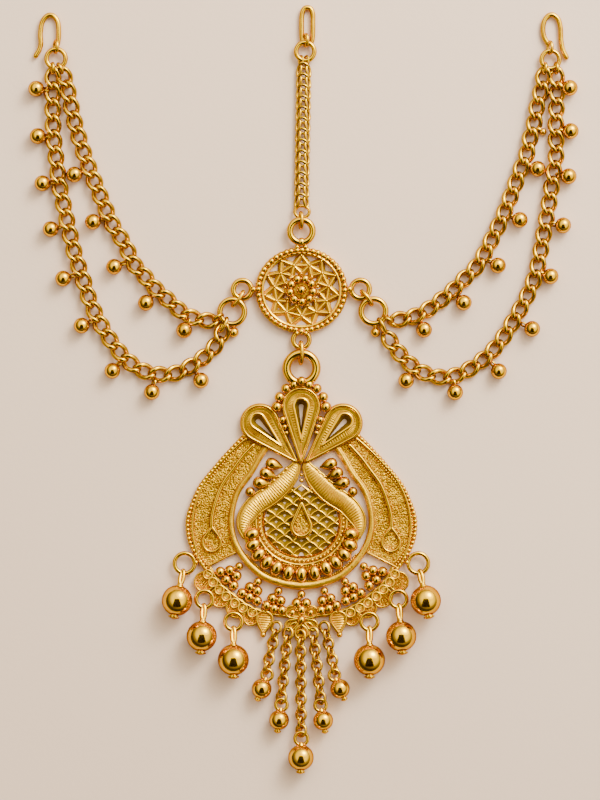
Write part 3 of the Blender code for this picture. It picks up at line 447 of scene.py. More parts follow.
def gold(name, smoothness, grain_scale=0.0, grain_depth=0.0, pits=False, shade=1.0):
    """Gold with cloudy colour and fine marks; grain is a matte finish's stipple, shade darkens it."""
    make = Nodes(name)
    make.shader.inputs["Metallic"].default_value = 1.0
    # Dark edge tint: painted shade in the grazing reflections.
    make.shader.inputs["Specular Tint"].default_value = GOLD_EDGE_TINT_AND_SHADE
    clouds = make.noise(260.0, 4.0)
    stops = [
        (position, (*(channel * shade for channel in tone), 1.0))
        for position, tone in ((0.30, GOLD_DEEP), (0.48, GOLD_BASE), (0.72, GOLD_LIGHT))
    ]
    colour = make.ramp(clouds, stops)
    make.link(colour, make.shader.inputs["Base Color"])
    wear = make.noise(900.0, 5.0, 0.7)
    rough = make.ramp(wear, ((0.30, smoothness * 0.7), (0.70, smoothness * 1.35)))
    make.link(rough, make.shader.inputs["Roughness"])
    normal = make.bump(make.noise(1500.0, 2.0), 0.10, 0.00004)
    if grain_scale:
        if pits:
            cells = make.new("ShaderNodeTexVoronoi", Scale=grain_scale)
            make.link(make.place, cells.inputs["Vector"])
            grain = make.ramp(cells.outputs["Distance"], ((0.0, 1.0), (0.75, 0.0)))
        else:
            grain = make.noise(grain_scale, 2.0, 0.6)
        normal = make.bump(grain, 1.0, grain_depth, normal)
    make.link(normal, make.shader.inputs["Normal"])
    return make.material


GOLDS = {
    "polished": gold("polished_gold", 0.12),
    "wire": gold("wire_gold", 0.18),
    "satin": gold("satin_gold", 0.36, 2600.0, 0.00010),
    "stippled": gold("stippled_gold", 0.38, 1900.0, 0.00040, pits=True, shade=0.92),
    "hatched": gold("hatched_gold", 0.40, 3000.0, 0.00008, shade=0.74),
    # The darkest gold is painted shade: it lines the petals' holes and grooves and fills the gaps under the
    # lattice's wires.
    "painted_shade": gold("painted_shade_gold", 0.60, shade=0.36),
    "chain": gold("chain_gold", 0.13, shade=0.82),
}

# The pendant's right half in pixels; the left half mirrors it
OUTER_EDGE = [
    (352, 436), (359.7, 434.9), (373.5, 448.9), (389.5, 466.9), (403.3, 484.6), (411.4, 501.7),
    (415.9, 515.5), (416.8, 526.9), (414.8, 540.7), (408.7, 554.5), (398.5, 569.3),
]
RIM_WIRE = [
    (356.3, 438.3), (368, 448.5), (380.4, 460.9), (397, 480.6), (406.7, 501.7), (410.4, 522.3), (409, 540.7),
    (402.8, 560), (398.1, 567.9),
]
RIDGE_WIRE = [
    (349.4, 445), (360, 456.5), (368.9, 468.4), (380.4, 484.5), (387.2, 501.7), (390.7, 515.5), (391.3, 527),
]
HOOP = [
    (336, 446), (343, 457), (351.7, 472), (364.3, 490), (370, 507), (371.7, 523.5), (368.9, 538.4),
    (362.5, 552), (351, 566.5), (333, 578.8),
]
HOOP_BOTTOM = (301.4, 585.3)
HOOP_BEADS_TOP = 556.0
HOOP_SHARES = (0.0, 0.16, 0.30, 0.5, 0.70, 0.84, 1.0)
HOOP_RADII = (2.0, 2.4, 3.3, 4.3, 3.3, 2.4, 2.0)
LOWER_CORNER = (367.5, 552.2)
LOWER_ARC = [(392.5, 568), (385, 580), (376.5, 589), (357, 603.7), (340.1, 611.4), (322, 615), (301.4, 616.6)]
S_LEAF = [
    (306.2, 459.5, 0.8), (308.2, 468, 5), (316.6, 480, 8.5), (330.3, 493.5, 9.5), (346.4, 504.5, 9.2),
    (356.1, 516.5, 8.2), (359.6, 527, 5), (358.6, 537.5, 0.8),
]
UPPER_DROPS = [((331.4, 463.5), 162), ((337.4, 472.8), 158), ((344, 482.4), 172)]
UPPER_BALL = (352.6, 491.6)
UPPER_GRAINS = [(316.6, 468.8), (319.6, 473), (324, 476.6), (329, 480.2), (334.4, 486), (340.5, 490.4)]
CROWN_BALLS = [
    (308.9, 384.8, 4.9), (316.8, 388.6, 4.9), (323.1, 397, 5.1), (325.8, 406.8, 5.4), (312.9, 379.4, 3.4),
    (320.4, 419.6, 3.6), (318.2, 426.8, 3), (316.4, 432.8, 2.4),
]
EGG_PLACES = [(350.6, 533.8), (349.8, 544.6), (344, 554.2), (335.7, 562), (326.1, 567.8), (314.5, 572.4)]
LOWEST_EGG = (301.4, 573.8)
BALL_CLUSTERS = [
    [(363.7, 566), (372.9, 570), (366, 575.6), (382.4, 571.4), (376.3, 579.5), (369, 585.2)],
    [(344.9, 581.4), (353, 586.7), (345.3, 590.6), (360.6, 592.8), (353.4, 596.7), (345.7, 600.5)],
    [(324.3, 590.8), (330.5, 598), (322.1, 600.4), (336.3, 605.1), (328.7, 608.2), (320.9, 609.9)],
]
CENTRE_CLUSTER = [(301.4, 594), (296.5, 602.8), (306.3, 602.8), (301.4, 609.6)]
LOBES = [
    ((398.4, 581.3), 9.6, (391, 573.5)), ((382.2, 596.8), 9.8, (377, 587)),
    ((366.6, 607.4), 9.6, (362.5, 598.5)), ((351.8, 617.4), 7.4, (349, 609)),
]
COILS = [
    (394.7, 574), (389.6, 581.9), (383.2, 589.2), (376.3, 596.1), (367.9, 602.8), (359.9, 607.6),
    (350.4, 612.2),
]
WING_DROP_TIP = (390.9, 526.5)
LATTICE_CENTRE = (301.4, 522.0)
LATTICE_TOP = 497.4
CENTRE_DROP_TIP = (301.4, 502.8)
CENTRE_GRAINS = [((301.4, 498.6), 2.5), ((301.4, 480.4), 2.2), ((301.4, 474.6), 1.6)]
DIAMOND = [(301.4, 484.8), (309.6, 491), (301.4, 497.2), (293.2, 491)]
FLOWER_CENTRE = (301.4, 619.3)
COIL_CENTRE = (301.4, 631.0)
PENDANT_RING = (301.5, 368.3)
TOP_BALL = (301.4, 381.2)
SOLDER_BALL = (406.8, 562.0)
SMALL_LEAF_TOP = (337.6, 611.5)
SMALL_LEAF_BALL = (339.6, 634.3)
SMALL_LEAF_WIDTHS = [
    (-0.02, 1.5), (0.05, 4.8), (0.15, 7), (0.3, 7.9), (0.45, 7.2), (0.6, 5.4), (0.75, 3.2), (0.9, 1.2),
]
PETALS = [
    ((301.2, 463.9), 0, 76.5, 18.8, 0.0001), ((305, 463), 43.5, 73.7, 18.7, -0.0003),
    ((297.8, 463), -43.5, 73.7, 18.7, -0.0003),
]
PETAL_HOLE = (25.9, 38.6, 6.4)
DROP_RINGS = [(418, 563, 12), (398.2, 598.8, 10.4), (369.2, 621.2, 10.4)]
DROP_BALLS = [(425.2, 599.6, 15.2), (400.7, 635.2, 15.1), (369.1, 658.7, 15.5)]


def sides(pixels):
    """The right-hand points and their mirror image, as two lists."""
    return [pixels, mirror(pixels)]


def across(pixels, middle):
    """One list from the right end through the middle to the left end."""
    return [*pixels, middle, *reversed(mirror(pixels))]


def polar(centre, angle, reach):
    return (centre[0] + reach * math.sin(angle), centre[1] - reach * math.cos(angle))


# The rows along the wings' edge: distance from it, spacing, radius, finish and shape
EDGE_ROWS = ((1.7, 4.3, 2.35, "polished", GRAIN), (4.9, 2.9, 1.4, "wire", SEED))


def build_wings():
    wings = Piece("pendant_wings")
    edge = Piece("pendant_beaded_edge")
    for side, flip in SIDES:
        outer = curve(flip(OUTER_EDGE), 0.0, 1.6)
        inner = curve(flip([*reversed(HOOP[:8]), HOOP[0]]), 0.0, 1.6)
        outline = np.vstack([outer, line(flip([LOWER_CORNER])), inner])
        wings.add(slab(outline[:, :2], 0.0, WING_TOP, rounding=0.0), "stippled")
        wings.wire(curve(flip(RIM_WIRE), WING_TOP + 0.0002, 1.4), 1.5, "polished")
        wings.wire(line(flip([RIM_WIRE[-1], LOWER_CORNER]), WING_TOP + 0.0001), 1.1)
        wings.wire(curve(flip(RIDGE_WIRE), WING_TOP + 0.0003, 1.4), 2.1, "polished", sides=12)
        wings.wire(curve(flip(HOOP[:8]), WING_TOP, 1.4), 3.2, "satin", flat=0.35)
        tip = flip([WING_DROP_TIP])[0]
        drop = teardrop(tip, math.pi, 25.0, 9.0)
        wings.wire(curve(drop[TIP_STEPS:1 - TIP_STEPS], WING_TOP + 0.0004, 1.4), 1.6, "polished")
        for end in (drop[TIP_STEPS], drop[-TIP_STEPS]):
            wings.wire(line([drop[0], end], WING_TOP + 0.0004), 1.6, "polished")
        wings.plate(teardrop(tip, math.pi, 24.0, 8.0), WING_TOP - 0.0001, WING_TOP + 0.0002, "stippled")
        along = curve(flip(OUTER_EDGE[1:]), 0.0, 1.0)
        inwards = np.cross(unit(np.gradient(along, axis=0)), (0, 0, side))
        for distance, spacing, radius, finish, shape in EDGE_ROWS:
            row = even(along + inwards * distance * PX, spacing * PX)
            edge.beads(row + (0, 0, WING_TOP), radius, finish, shape)
    wings.make("pendant")
    edge.make()


def build_hoop():
    hoop = Piece("pendant_hoop")
    path = curve(across(HOOP, HOOP_BOTTOM), HOOP_HEIGHT, 1.6)
    swell = np.interp(np.linspace(0, 1, len(path)), HOOP_SHARES, HOOP_RADII)
    hoop.wire(path, swell, "satin", sides=20)
    outwards = np.cross((0, 0, 1), unit(np.gradient(path, axis=0)))
    low = path[:, 1] < at(AXIS_X, HOOP_BEADS_TOP)[1]
    hoop.beads(even((path - outwards * 4.2 * PX)[low], 2.35 * PX) - (0, 0, 0.0004), 1.15)
    hoop.wire(even((path - outwards * 3.6 * PX)[low], 2 * PX) - (0, 0, 0.0007), 1.0)
    hoop.make()


def inside_teardrop(x, y, start, length, half_width):
    """Whether a point of the petal's own frame, y from its tip, is inside a teardrop on the same axis."""
    y -= start
    reach = length - half_width
    if y <= 0:
        return False
    if math.hypot(x, y - reach) < half_width:
        return True
    lean = math.asin(half_width / reach)
    return y < reach - half_width * math.sin(lean) and abs(x) < y * math.tan(lean)


HATCH_SPACING, HATCH_WIDTH, HATCH_HEIGHT = 2.6, 2.1, 0.00024
HATCH_START, HATCH_SHORTEST, HATCH_LONGEST = 5.4, 6.6, 20.0


def build_petals():
    petals = Piece("pendant_petals")
    rims = Piece("pendant_petal_rims")
    hole, hole_length, hole_half = PETAL_HOLE
    for tip, degrees, length, half_width, rise in PETALS:
        turn = math.radians(degrees)
        top = PETAL_TOP + rise

        def drop(shift, long, wide):
            return teardrop(polar(tip, turn, shift), turn, long, wide)

        outline = teardrop(tip, turn, length, half_width)
        petals.plate(outline, 0.0002, top, "hatched", [drop(hole, hole_length, hole_half)])
        # Inside each hole a funnel of the darkest gold narrows it towards the bottom: painted shade in the
        # hole.
        mouth = line(drop(hole - 1.0, hole_length + 1.6, hole_half + 0.5), top - 0.0002)
        foot = line(drop(hole + 9.0, hole_length - 13.5, hole_half - 4.0), 0.0004)
        petals.add(skin(np.stack([mouth, foot, mouth * (1, 1, 0) + (0, 0, 0.0003)]), loop=True), "painted_shade")
        rims.outline(drop(1.5, length - 2.8, half_width - 1.3), top + 0.0001, 1.7, spacing=1.3)
        groove = drop(6.0, length - 10.4, half_width - 4.4)
        # A thin groove line in the darkest gold: painted shade.
        rims.outline(groove, top + 0.00004, 0.75, "painted_shade", 1.3, sides=6, flat=0.3)
        rims.outline(outline, top - 0.0009, 1.2, "satin", 1.5, sides=8, flat=2.6)
        inner = drop(hole - 2.6, hole_length + 3.7, hole_half + 1.1)
        rims.outline(inner, top + 0.00006, 1.4, spacing=1.3, sides=8)
        around = teardrop((0, 0), 0.0, length, half_width)
        local = even(np.array([(x, -y, 0.0) for x, y in [*around, around[0]]]), HATCH_SPACING, closed=True)
        inward = np.cross((0, 0, 1), unit(np.roll(local, -1, 0) - np.roll(local, 1, 0)))
        for start, direction in zip(local, inward):
            reach = 2.0
            while reach < HATCH_LONGEST:
                x, y = start[:2] + direction[:2] * reach
                crossed = x * start[0] <= 0 and abs(start[0]) > 0.3
                if crossed or inside_teardrop(x, y, hole - 3.0, hole_length + 4.5, hole_half + 1.8):
                    break
                reach += 0.4
            if reach > HATCH_SHORTEST:
                first, last = (
                    at(*turned(tip, turn, *(start[:2] + direction[:2] * share)), top - 0.00002)
                    for share in (HATCH_START, reach)
                )
                petals.add(ridge(first, last, HATCH_WIDTH * PX, HATCH_HEIGHT), "hatched")
    petals.make()
    rims.make()


def ribbed_leaf(plan, base, crown, comb):
    """A domed leaf along its middle line, whose fourth column is its half width, with fine cross ribs."""
    section = np.linspace(-1, 1, 15)
    middle = line(plan[:, :2])
    normal = np.cross((0, 0, 1), unit(np.gradient(middle, axis=0)))
    widths = np.maximum(plan[:, 3], 0.4) * PX
    ribs = 1.0 + comb * (np.arange(len(plan)) % 2)
    rise = crown * np.sqrt(widths / widths.max())[:, None] * (1 - section[None] ** 2) ** 0.62 * ribs[:, None]
    surface = middle[:, None] + normal[:, None] * section[None, :, None] * widths[:, None, None]
    surface[:, :, 2] = base + rise
    under = surface.copy()
    under[:, :, 2] = base - 0.0003
    return skin(np.concatenate([surface, under[:, ::-1]], axis=1)), surface[:, 0], surface[:, -1]


def build_s_leaves():
    leaves = Piece("pendant_s_leaves")
    for _, flip in SIDES:
        plan = curve_through([(x, y, 0.0, width) for x, y, width in flip(S_LEAF)], 1.25)
        leaves.leaf(plan, 0.0014, 0.0010, 0.24, 0.0001, 1.2, 1.35)
    leaves.make()


LATTICE_HALF_SIZE = (38.0, 34.8)
LATTICE_PITCH = (8.4, 6.3)
LATTICE_ROWS = range(-2, 12)
LATTICE_COLUMNS = range(-6, 7)
STRAND_STEPS = 6


def build_lattice():
    lattice = Piece("pendant_lattice")
    centre_x, centre_y = LATTICE_CENTRE
    half_x, half_y = LATTICE_HALF_SIZE
    pitch_x, pitch_y = LATTICE_PITCH

    def clipped(x, y):
        return math.hypot((x - centre_x) / half_x, (y - centre_y) / half_y) <= 1.0

    def arc(wide, high, reach, rise, steps=90):
        return line(ellipse(LATTICE_CENTRE, wide, high, -reach, reach, steps), LATTICE_HEIGHT + rise)

    for row, column in ((row, column) for row in LATTICE_ROWS for column in LATTICE_COLUMNS):
        if (row + column) % 2:
            continue
        x, y = centre_x + column * pitch_x, LATTICE_TOP + row * pitch_y
        for way in (1, -1):
            strand = []
            for t in (step / STRAND_STEPS for step in range(STRAND_STEPS + 1)):
                bow = 0.9 * math.sin(math.pi * t)
                point = (x + way * (pitch_x * t + bow * 0.6), y + pitch_y * t - bow * 0.8)
                if clipped(*point):
                    strand.append(point)
            if len(strand) > 1:
                crest = line(strand, LATTICE_HEIGHT)
                lattice.wire(crest, 0.75, sides=8)
                # A broad bar of the darkest gold under each wire fills most of the gap: painted shade where
                # the surface below is seen.
                lattice.add(rib(crest, 5.0 * PX, 7.8 * PX, 0.0001, 0.0005), "painted_shade")
        if clipped(x, y):
            lattice.bead(x, y, LATTICE_HEIGHT + 0.0001, 1.15, SEED, "wire")
    lattice.wire(arc(half_x, half_y, 118, -0.0004), 1.1, sides=8, flat=2.4)
    lattice.beads(even(arc(42.0, 38.9, 108, 0.0002), 4.3 * PX), 1.75, "wire", GRAIN)
    lattice.wire(arc(42.0, 38.9, 110, -0.0004), 3.4, "satin", flat=0.3)
    lattice.wire(arc(45.2, 42.3, 104, 0.0002), 1.15, sides=8)
    lattice.beads(even(arc(47.6, 44.6, 112, 0.0, 120), 2.3 * PX), 1.0)
    lattice.wire(arc(52.5, 48.5, 100, -0.0008), 7.5, "satin", flat=0.08)
    body = teardrop(CENTRE_DROP_TIP, math.pi, 33.3, 9.6)
    lattice.plate(body, 0.0012, 0.0022, "stippled", rounding=0.0003)
    lattice.outline(body, 0.0023, 2.0, "polished", sides=12)
    for point, radius in CENTRE_GRAINS:
        lattice.grain(*point, 0.0018, radius)
    lattice.outline(DIAMOND, 0.0016, 1.1, sides=8)
    lattice.make()


def drop_shape(length, radius):
    """A solid drop about +Z: round at the bottom, drawn out to a thin tail."""
    profile = [
        (0.02, -1.0), (0.38, -0.93), (0.70, -0.74), (0.92, -0.42), (1.0, 0.0), (0.97, 0.40), (0.87, 0.85),
        (0.70, 1.30), (0.50, 1.72), (0.30, 2.10), (0.14, 2.42), (0.02, 2.60),
    ]
    stretch = (length - radius) / (2.60 * radius)
    return lathe([(r * radius, h * radius * (stretch if h > 0 else 1.0)) for r, h in profile], 24)


EGG_RADII = (6.4, 6.4, 8.2)


def build_pendant_beads():
    eggs = Piece("pendant_egg_beads")
    for x, y in [LOWEST_EGG, *EGG_PLACES, *mirror(EGG_PLACES)]:
        aim = (x - LATTICE_CENTRE[0], LATTICE_CENTRE[1] - y, 0.0)
        eggs.bead(x, y, EGG_HEIGHT, EGG_RADII, aim=aim)
        inward = unit(np.array(aim)) * 8.0 * PX
        eggs.add(placed(GRAIN, at(x, y, EGG_GRAIN_HEIGHT) - inward, 1.7 * PX), "wire")
    shape = drop_shape(19.0 * PX, 6.0 * PX)
    for side, flip in SIDES:
        for point, angle in UPPER_DROPS:
            turn = math.radians(angle)
            aim = (side * math.cos(turn), -math.sin(turn), -0.06)
            eggs.add(placed(shape, at(*flip([point])[0], UPPER_DROP_HEIGHT), aim=aim))
        eggs.bead(*flip([UPPER_BALL])[0], EGG_HEIGHT, 4.9)
        for x, y in flip(UPPER_GRAINS):
            eggs.grain(x, y, UPPER_GRAIN_HEIGHT, 2.1)
        eggs.wire(line(flip(UPPER_GRAINS), UPPER_GRAIN_HEIGHT - 0.0004), 0.8, sides=6)
    eggs.make()

    clusters = Piece("pendant_ball_clusters")
    for group in [CENTRE_CLUSTER] + [flip(cluster) for cluster in BALL_CLUSTERS for _, flip in SIDES]:
        for index, (x, y) in enumerate(group):
            clusters.bead(x, y, CLUSTER_HEIGHT, 5.1 if index else 4.1)
        for (x, y), (next_x, next_y) in zip(group, group[1:]):
            clusters.grain((x + next_x) / 2, (y + next_y) / 2, CLUSTER_GRAIN_HEIGHT, 2.0)
    clusters.make()


PLATE_LOW, PLATE_HIGH = 0.0007, 0.0013
UPPER_PETAL_TURN, LOWER_PETAL_TURN = math.radians(52), math.radians(117)
LOWER_PETAL = (
    (0.0, 2.5), (0.42, 7.0), (0.40, 12.5), (0.18, 16.6), (-0.18, 17.2), (-0.40, 12.5), (-0.42, 7.0),
)
COIL_TURNS, COIL_STEPS, COIL_REACH = 1.8, 40, (0.6, 3.4)


def build_flower():
    flower = Piece("pendant_flower")
    flower.bead(*FLOWER_CENTRE, 0.0022, 4.2)
    for side, _ in SIDES:
        turn = UPPER_PETAL_TURN * side
        loop = teardrop(FLOWER_CENTRE, turn, 18.4, 5.9)
        flower.outline(loop, 0.0018, 1.3, spacing=1.0)
        flower.plate(loop, PLATE_LOW, PLATE_HIGH)
        flower.bead(*polar(FLOWER_CENTRE, turn, 11.6), 0.0018, 3.4)
        turn = LOWER_PETAL_TURN * side
        lower = [polar(FLOWER_CENTRE, turn - side * spread, reach) for spread, reach in LOWER_PETAL]
        rim = curve(lower, 0.0017, 1.0, closed=True)
        flower.wire(rim, 1.3, closed=True)
        flower.add(slab(rim[:, :2], PLATE_LOW, PLATE_HIGH), "satin")
        vein = line([polar(FLOWER_CENTRE, turn, reach) for reach in (5, 7.5, 10, 12.5)], 0.0014)
        flower.wire(vein, (1.2, 2.1, 2.1, 1.0), "polished", flat=0.7)
    loop = teardrop(polar(FLOWER_CENTRE, math.pi, 5.0), math.pi, 14.5, 6.4)
    flower.outline(loop, 0.0017, 1.3, spacing=1.0)
    flower.plate(loop, PLATE_LOW, PLATE_HIGH - 0.0001)
    spins = np.linspace(0, 2 * math.pi * COIL_TURNS, COIL_STEPS)
    coil = [
        (COIL_CENTRE[0] + reach * math.cos(spin), COIL_CENTRE[1] + reach * math.sin(spin))
        for reach, spin in zip(np.linspace(*COIL_REACH, COIL_STEPS), spins)
    ]
    flower.wire(line(coil, 0.0014), 0.75, sides=6)
    flower.make()


# A turned disc of the border: radii in pixels and heights in metres
DISC = lathe([(radius * PX, height) for radius, height in (
    (5.2, 0.0008), (5.2, 0.0015), (4.9, 0.0018), (4.3, 0.0019), (3.9, 0.0018), (3.4, 0.0015), (2.9, 0.0015),
    (2.5, 0.0017), (2.0, 0.0018), (1.5, 0.0017), (0.8, 0.0017), (0.1, 0.0018),
)], 28)
RAY_SHARES = (0.35, 0.95)
LOBE_STEPS = 35


def build_lower_border():
    border = Piece("pendant_scalloped_border")
    arc = curve(across(LOWER_ARC[:-1], LOWER_ARC[-1]), BORDER_HEIGHT, 1.5)
    border.wire(arc, 1.25)
    border.wire(arc - (0, 0, 0.0005), 2.0, "satin", flat=0.5)
    for _, flip in SIDES:
        for centre, radius, hinge in LOBES:
            (x, y), (hinge_x, hinge_y) = flip([centre, hinge])
            disc = [(x + radius * math.cos(a), y + radius * math.sin(a)) for a in circle(LOBE_STEPS)]
            border.plate(disc, 0.0008, LOBE_TOP, "stippled", rounding=0.0001)
            border.outline(disc, LOBE_TOP + 0.0001, 1.05)
            for px, py in disc[::2]:
                start, stop = (
                    at(hinge_x + (px - hinge_x) * share, hinge_y + (py - hinge_y) * share, LOBE_TOP)
                    for share in RAY_SHARES
                )
                border.add(ridge(start, stop, 1.2 * PX, 0.00016), "wire")
        for x, y in flip(COILS):
            border.add(placed(DISC, at(x, y)), "satin")
            border.ring(x, y, 0.0019, 4.4, 0.75, "wire", sides=8, steps=28)
        (top_x, top_y), (foot_x, foot_y) = flip([SMALL_LEAF_TOP, SMALL_LEAF_BALL])
        plan = [
            (top_x + (foot_x - top_x) * share, top_y + (foot_y - top_y) * share, 0.0, width)
            for share, width in SMALL_LEAF_WIDTHS
        ]
        border.leaf(curve_through(plan, 1.2), 0.0013, 0.00034, 0.9, 0.0005, 1.1, 1.3)
        border.bead(foot_x, foot_y, LOBE_TOP, 3.0, GRAIN)
    border.make()


def build_pendant_rings():
    rings = Piece("pendant_rings")
    rings.ring(*PENDANT_RING, RING_PLANE, 14.9, 4.3, sides=20, steps=64)
    rings.bead(*TOP_BALL, TOP_BALL_HEIGHT, 4.7)
    for _, flip in SIDES:
        for x, y, radius in flip(CROWN_BALLS):
            rings.bead(x, y, CROWN_BALL_HEIGHT, radius)
        for x, y, outer in flip(DROP_RINGS):
            rings.ring(x, y, DROP_RING_PLANE, outer - 2.0, 2.1)
        rings.bead(*flip([SOLDER_BALL])[0], DROP_RING_PLANE, 2.6, GRAIN)
    rings.make()


# The side chains from the hooks down, and the centres of the beads that hang on them, in pixels
OUTER_LEFT = [
    (53.1, 70), (53.1, 89), (53.1, 111.6), (53.9, 135.5), (56.3, 157.8), (59.5, 183.4), (64.5, 208),
    (69.8, 232), (75.8, 256.8), (82.7, 277.4), (90.4, 301.5), (99, 320.5), (110.2, 339.4), (122.3, 354.9),
    (136, 367), (147, 372), (158.4, 374.3), (170.6, 374.3), (183.9, 370.2), (197.1, 362), (210.4, 351.8),
    (220.6, 337.6), (223.7, 324.8),
]
INNER_LEFT = [
    (61, 70), (65.9, 81), (69.9, 99), (74.6, 121), (81, 143.5), (88, 164.5), (96.7, 186.5), (105, 207),
    (114, 227), (125.7, 245.5), (132.6, 262), (143.5, 274.5), (151.2, 284.5), (162.4, 294.7), (171.6, 303),
    (181.8, 312), (191, 317), (203.3, 320.2), (215.5, 321.2),
]
OUTER_RIGHT = [
    (555.8, 70), (556.2, 79.4), (556.8, 90.9), (556.2, 106.2), (555.7, 120.6), (555.3, 134), (556, 153.4),
    (552.6, 177.5), (549.1, 201.6), (544.8, 225.7), (540.5, 250.7), (535.4, 273.9), (526.8, 296.3),
    (516.4, 315.2), (505.2, 334.2), (493.2, 349.7), (477.7, 363.4), (462.2, 372.9), (446.7, 377.2),
    (431.2, 375.5), (415.7, 368.6), (402, 356.5), (392.5, 344.5), (385.6, 334.2),
]
INNER_RIGHT = [
    (544, 70), (542.3, 82.3), (540, 93.8), (536.6, 107.2), (534.2, 122.5), (530.4, 135.9), (526.7, 153.4),
    (520.7, 168.9), (515.6, 182.7), (510.4, 196.5), (505.2, 210.2), (499.2, 224), (491.5, 239.5),
    (484.6, 253.3), (476, 267), (463.9, 279.1), (451.9, 291.1), (438.1, 302.3), (424.3, 311.8), (412.3, 317),
    (400.2, 319.5), (391.6, 321.3),
]
SIDE_BEAD_RADIUS = 7.9
OUTER_LEFT_BEADS = [
    (36.8, 89.4), (38.3, 136.6), (43, 183.7), (51.2, 229.4), (63.7, 278.8), (82.1, 325.7), (112.8, 370.8),
    (152.2, 392), (201.2, 380.4),
]
INNER_LEFT_BEADS = [(74.8, 175), (93.3, 222.2), (114.5, 267), (146.2, 303), (184.4, 330.4)]
OUTER_RIGHT_BEADS = [
    (569.1, 88.5), (570.1, 131.6), (568, 176.7), (562.5, 225.7), (550, 276.5), (531.6, 329), (498.3, 371.2),
    (454.8, 392.3), (405.9, 380.6),
]
INNER_RIGHT_BEADS = [(537.1, 169.3), (519.3, 220.2), (497.5, 265.7), (463.4, 302.8), (423.8, 329.9)]
SMALL_BEAD = (542.8, 132.0, 3.5)
CURB_PITCH = 15.8
CURB_HALF_LENGTH, CURB_HALF_WIDTH, CURB_WIRE = 10.2, 6.3, 2.45
CURB_TWIST = math.radians(-56)
CHAIN_END_REACH = 8.0
# The upright link at the foot of each side chain, from its first to its last pixel
OUTER_LEFT_END = ((228.0, 317.0), (219.6, 333.0))
INNER_LEFT_END = ((212.5, 321.5), (224.0, 314.0))
OUTER_RIGHT_END = ((377.6, 317.6), (386.0, 334.6))
INNER_RIGHT_END = ((394.0, 321.5), (383.0, 315.5))

CENTRE_CHAIN = ((303.9, 66.0), (301.5, 207.0))
CENTRE_PITCH = 10.9
EYELETS = ((300.9, 61.0), (306.4, 61.0))
JUMP_LOOP = (302.0, 212.0)

TASSELS = [
    ((276.4, 627), (267.2, 674.1, 6.9), (261.8, 687.9, 9.9)),
    ((287.9, 633), (281.5, 704.2, 7.3), (279.2, 719, 9.9)),
    ((300.5, 635.5), (301.3, 737.9, 8), (300.9, 756.2, 12.8)),
    ((313.2, 633), (320.5, 704.7, 7.3), (323.1, 719.5, 9.9)),
    ((324.6, 627), (334.3, 674.6, 6.9), (339.9, 687.9, 9.7)),
]
TASSEL_PITCH = 7.75
TASSEL_HEIGHT = 0.0018

MEDALLION = (CENTRE_X, CENTRE_Y)
MEDALLION_TOP = 0.0018
STAR_HEIGHT = 0.0009
STAR_POINTS = 11
# The star's reach at its tips and the shares of it where bars meet: at the rim, in the middle and inside
STAR_HALF_SIZE = (38.6, 36.4)
STAR_RIM, STAR_MIDDLE, STAR_INSIDE = 0.97, 0.71, 0.47
RIM_BEADS, RIM_BEAD_RADIUS = 48, 3.15
# The rows of balls round the middle: distance, radius, shift in steps and height
CLUSTER_BALLS = 9
CLUSTER_ROWS = ((11.6, 4.5, 0.0, 0.0026), (16.4, 1.8, 0.5, 0.0020))
CLUSTER_TURN = 0.15
CLUSTER_BASE = 13.0
# The medallion's soldered rings: centre, height, radius, wire, sides and steps
MEDALLION_RINGS = (
    (301.3, 231.5, RING_PLANE, 11.3, 3.25, "polished", 18, 64),
    (242.4, 289.6, LOW_RING_PLANE, 9.0, 2.75, "polished", 16, 56),
    (360.3, 289.4, LOW_RING_PLANE, 9.0, 2.75, "polished", 16, 56),
    (301.3, 340.0, LOW_RING_PLANE, 8.1, 2.4, "polished", 16, 56),
)
MEDALLION_SOLDER = (
    (301.3, 242.3, 4.4), (297.2, 247.4, 2.6), (305.4, 247.4, 2.6), (253.4, 289.6, 3.2), (349.6, 289.4, 3.2),
    (301.3, 331.6, 3.2), (296.8, 333.4, 2.4), (305.8, 333.4, 2.4),
)
# The links seen on edge: node, first and last pixel, half width and wire
UPRIGHT_LINKS = (
    ("pendant_link", (300.8, 342.0), (300.8, 364.0), 5.4, 1.9),
    ("medallion_link", (300.9, 213.0), (300.9, 228.6), 4.6, 1.8),
    ("side_link_left", (243.6, 291.6), (232.6, 306.4), 4.8, 1.8),
    ("side_link_right", (361.2, 291.2), (371.8, 305.2), 4.8, 1.8),
)
UPRIGHT_HEIGHT = 0.0024
UPRIGHT_ROLL = math.radians(76)
SIDE_RINGS = (("left", (232.3, 312.0), (233.9, 332.4, 5.1)), ("right", (373.3, 311.5), (375.3, 332.4, 4.8)))
HOOKS = (
    ("hook_centre", (
        (303.2, 43.5), (301.9, 38.0), (301.6, 22.0), (302.4, 12.5), (305.0, 8.4), (307.6, 8.0), (310.4, 9.0),
        (312.6, 13.5), (312.9, 22.0), (312.6, 38.0), (311.0, 43.0),
    ), (305.8, 41.0)),
    ("hook_left", (
        (35.9, 56.4), (39.5, 50.4), (41.1, 44.0), (40.7, 34.0), (42.4, 23.0), (46.6, 16.8), (51.4, 15.4),
        (56.0, 18.6), (58.6, 25.4), (58.8, 38.3), (57.6, 45.0),
    ), (56.4, 47.4)),
    ("hook_right", (
        (566.3, 57.9), (562.5, 50.0), (560.8, 41.0), (560.4, 34.0), (560.0, 26.8), (557.5, 19.0),
        (551.4, 15.0), (545.6, 18.6), (542.8, 26.8), (543.6, 36.5), (547.5, 44.0),
    ), (549.5, 48.4)),
)
HOOK_RINGS = (
    ("hook_ring_centre", 305.2, 52.1, 11.4), ("hook_ring_left", 56.4, 59.3, 11.8),
    ("hook_ring_right", 550.0, 60.3, 11.2),
)


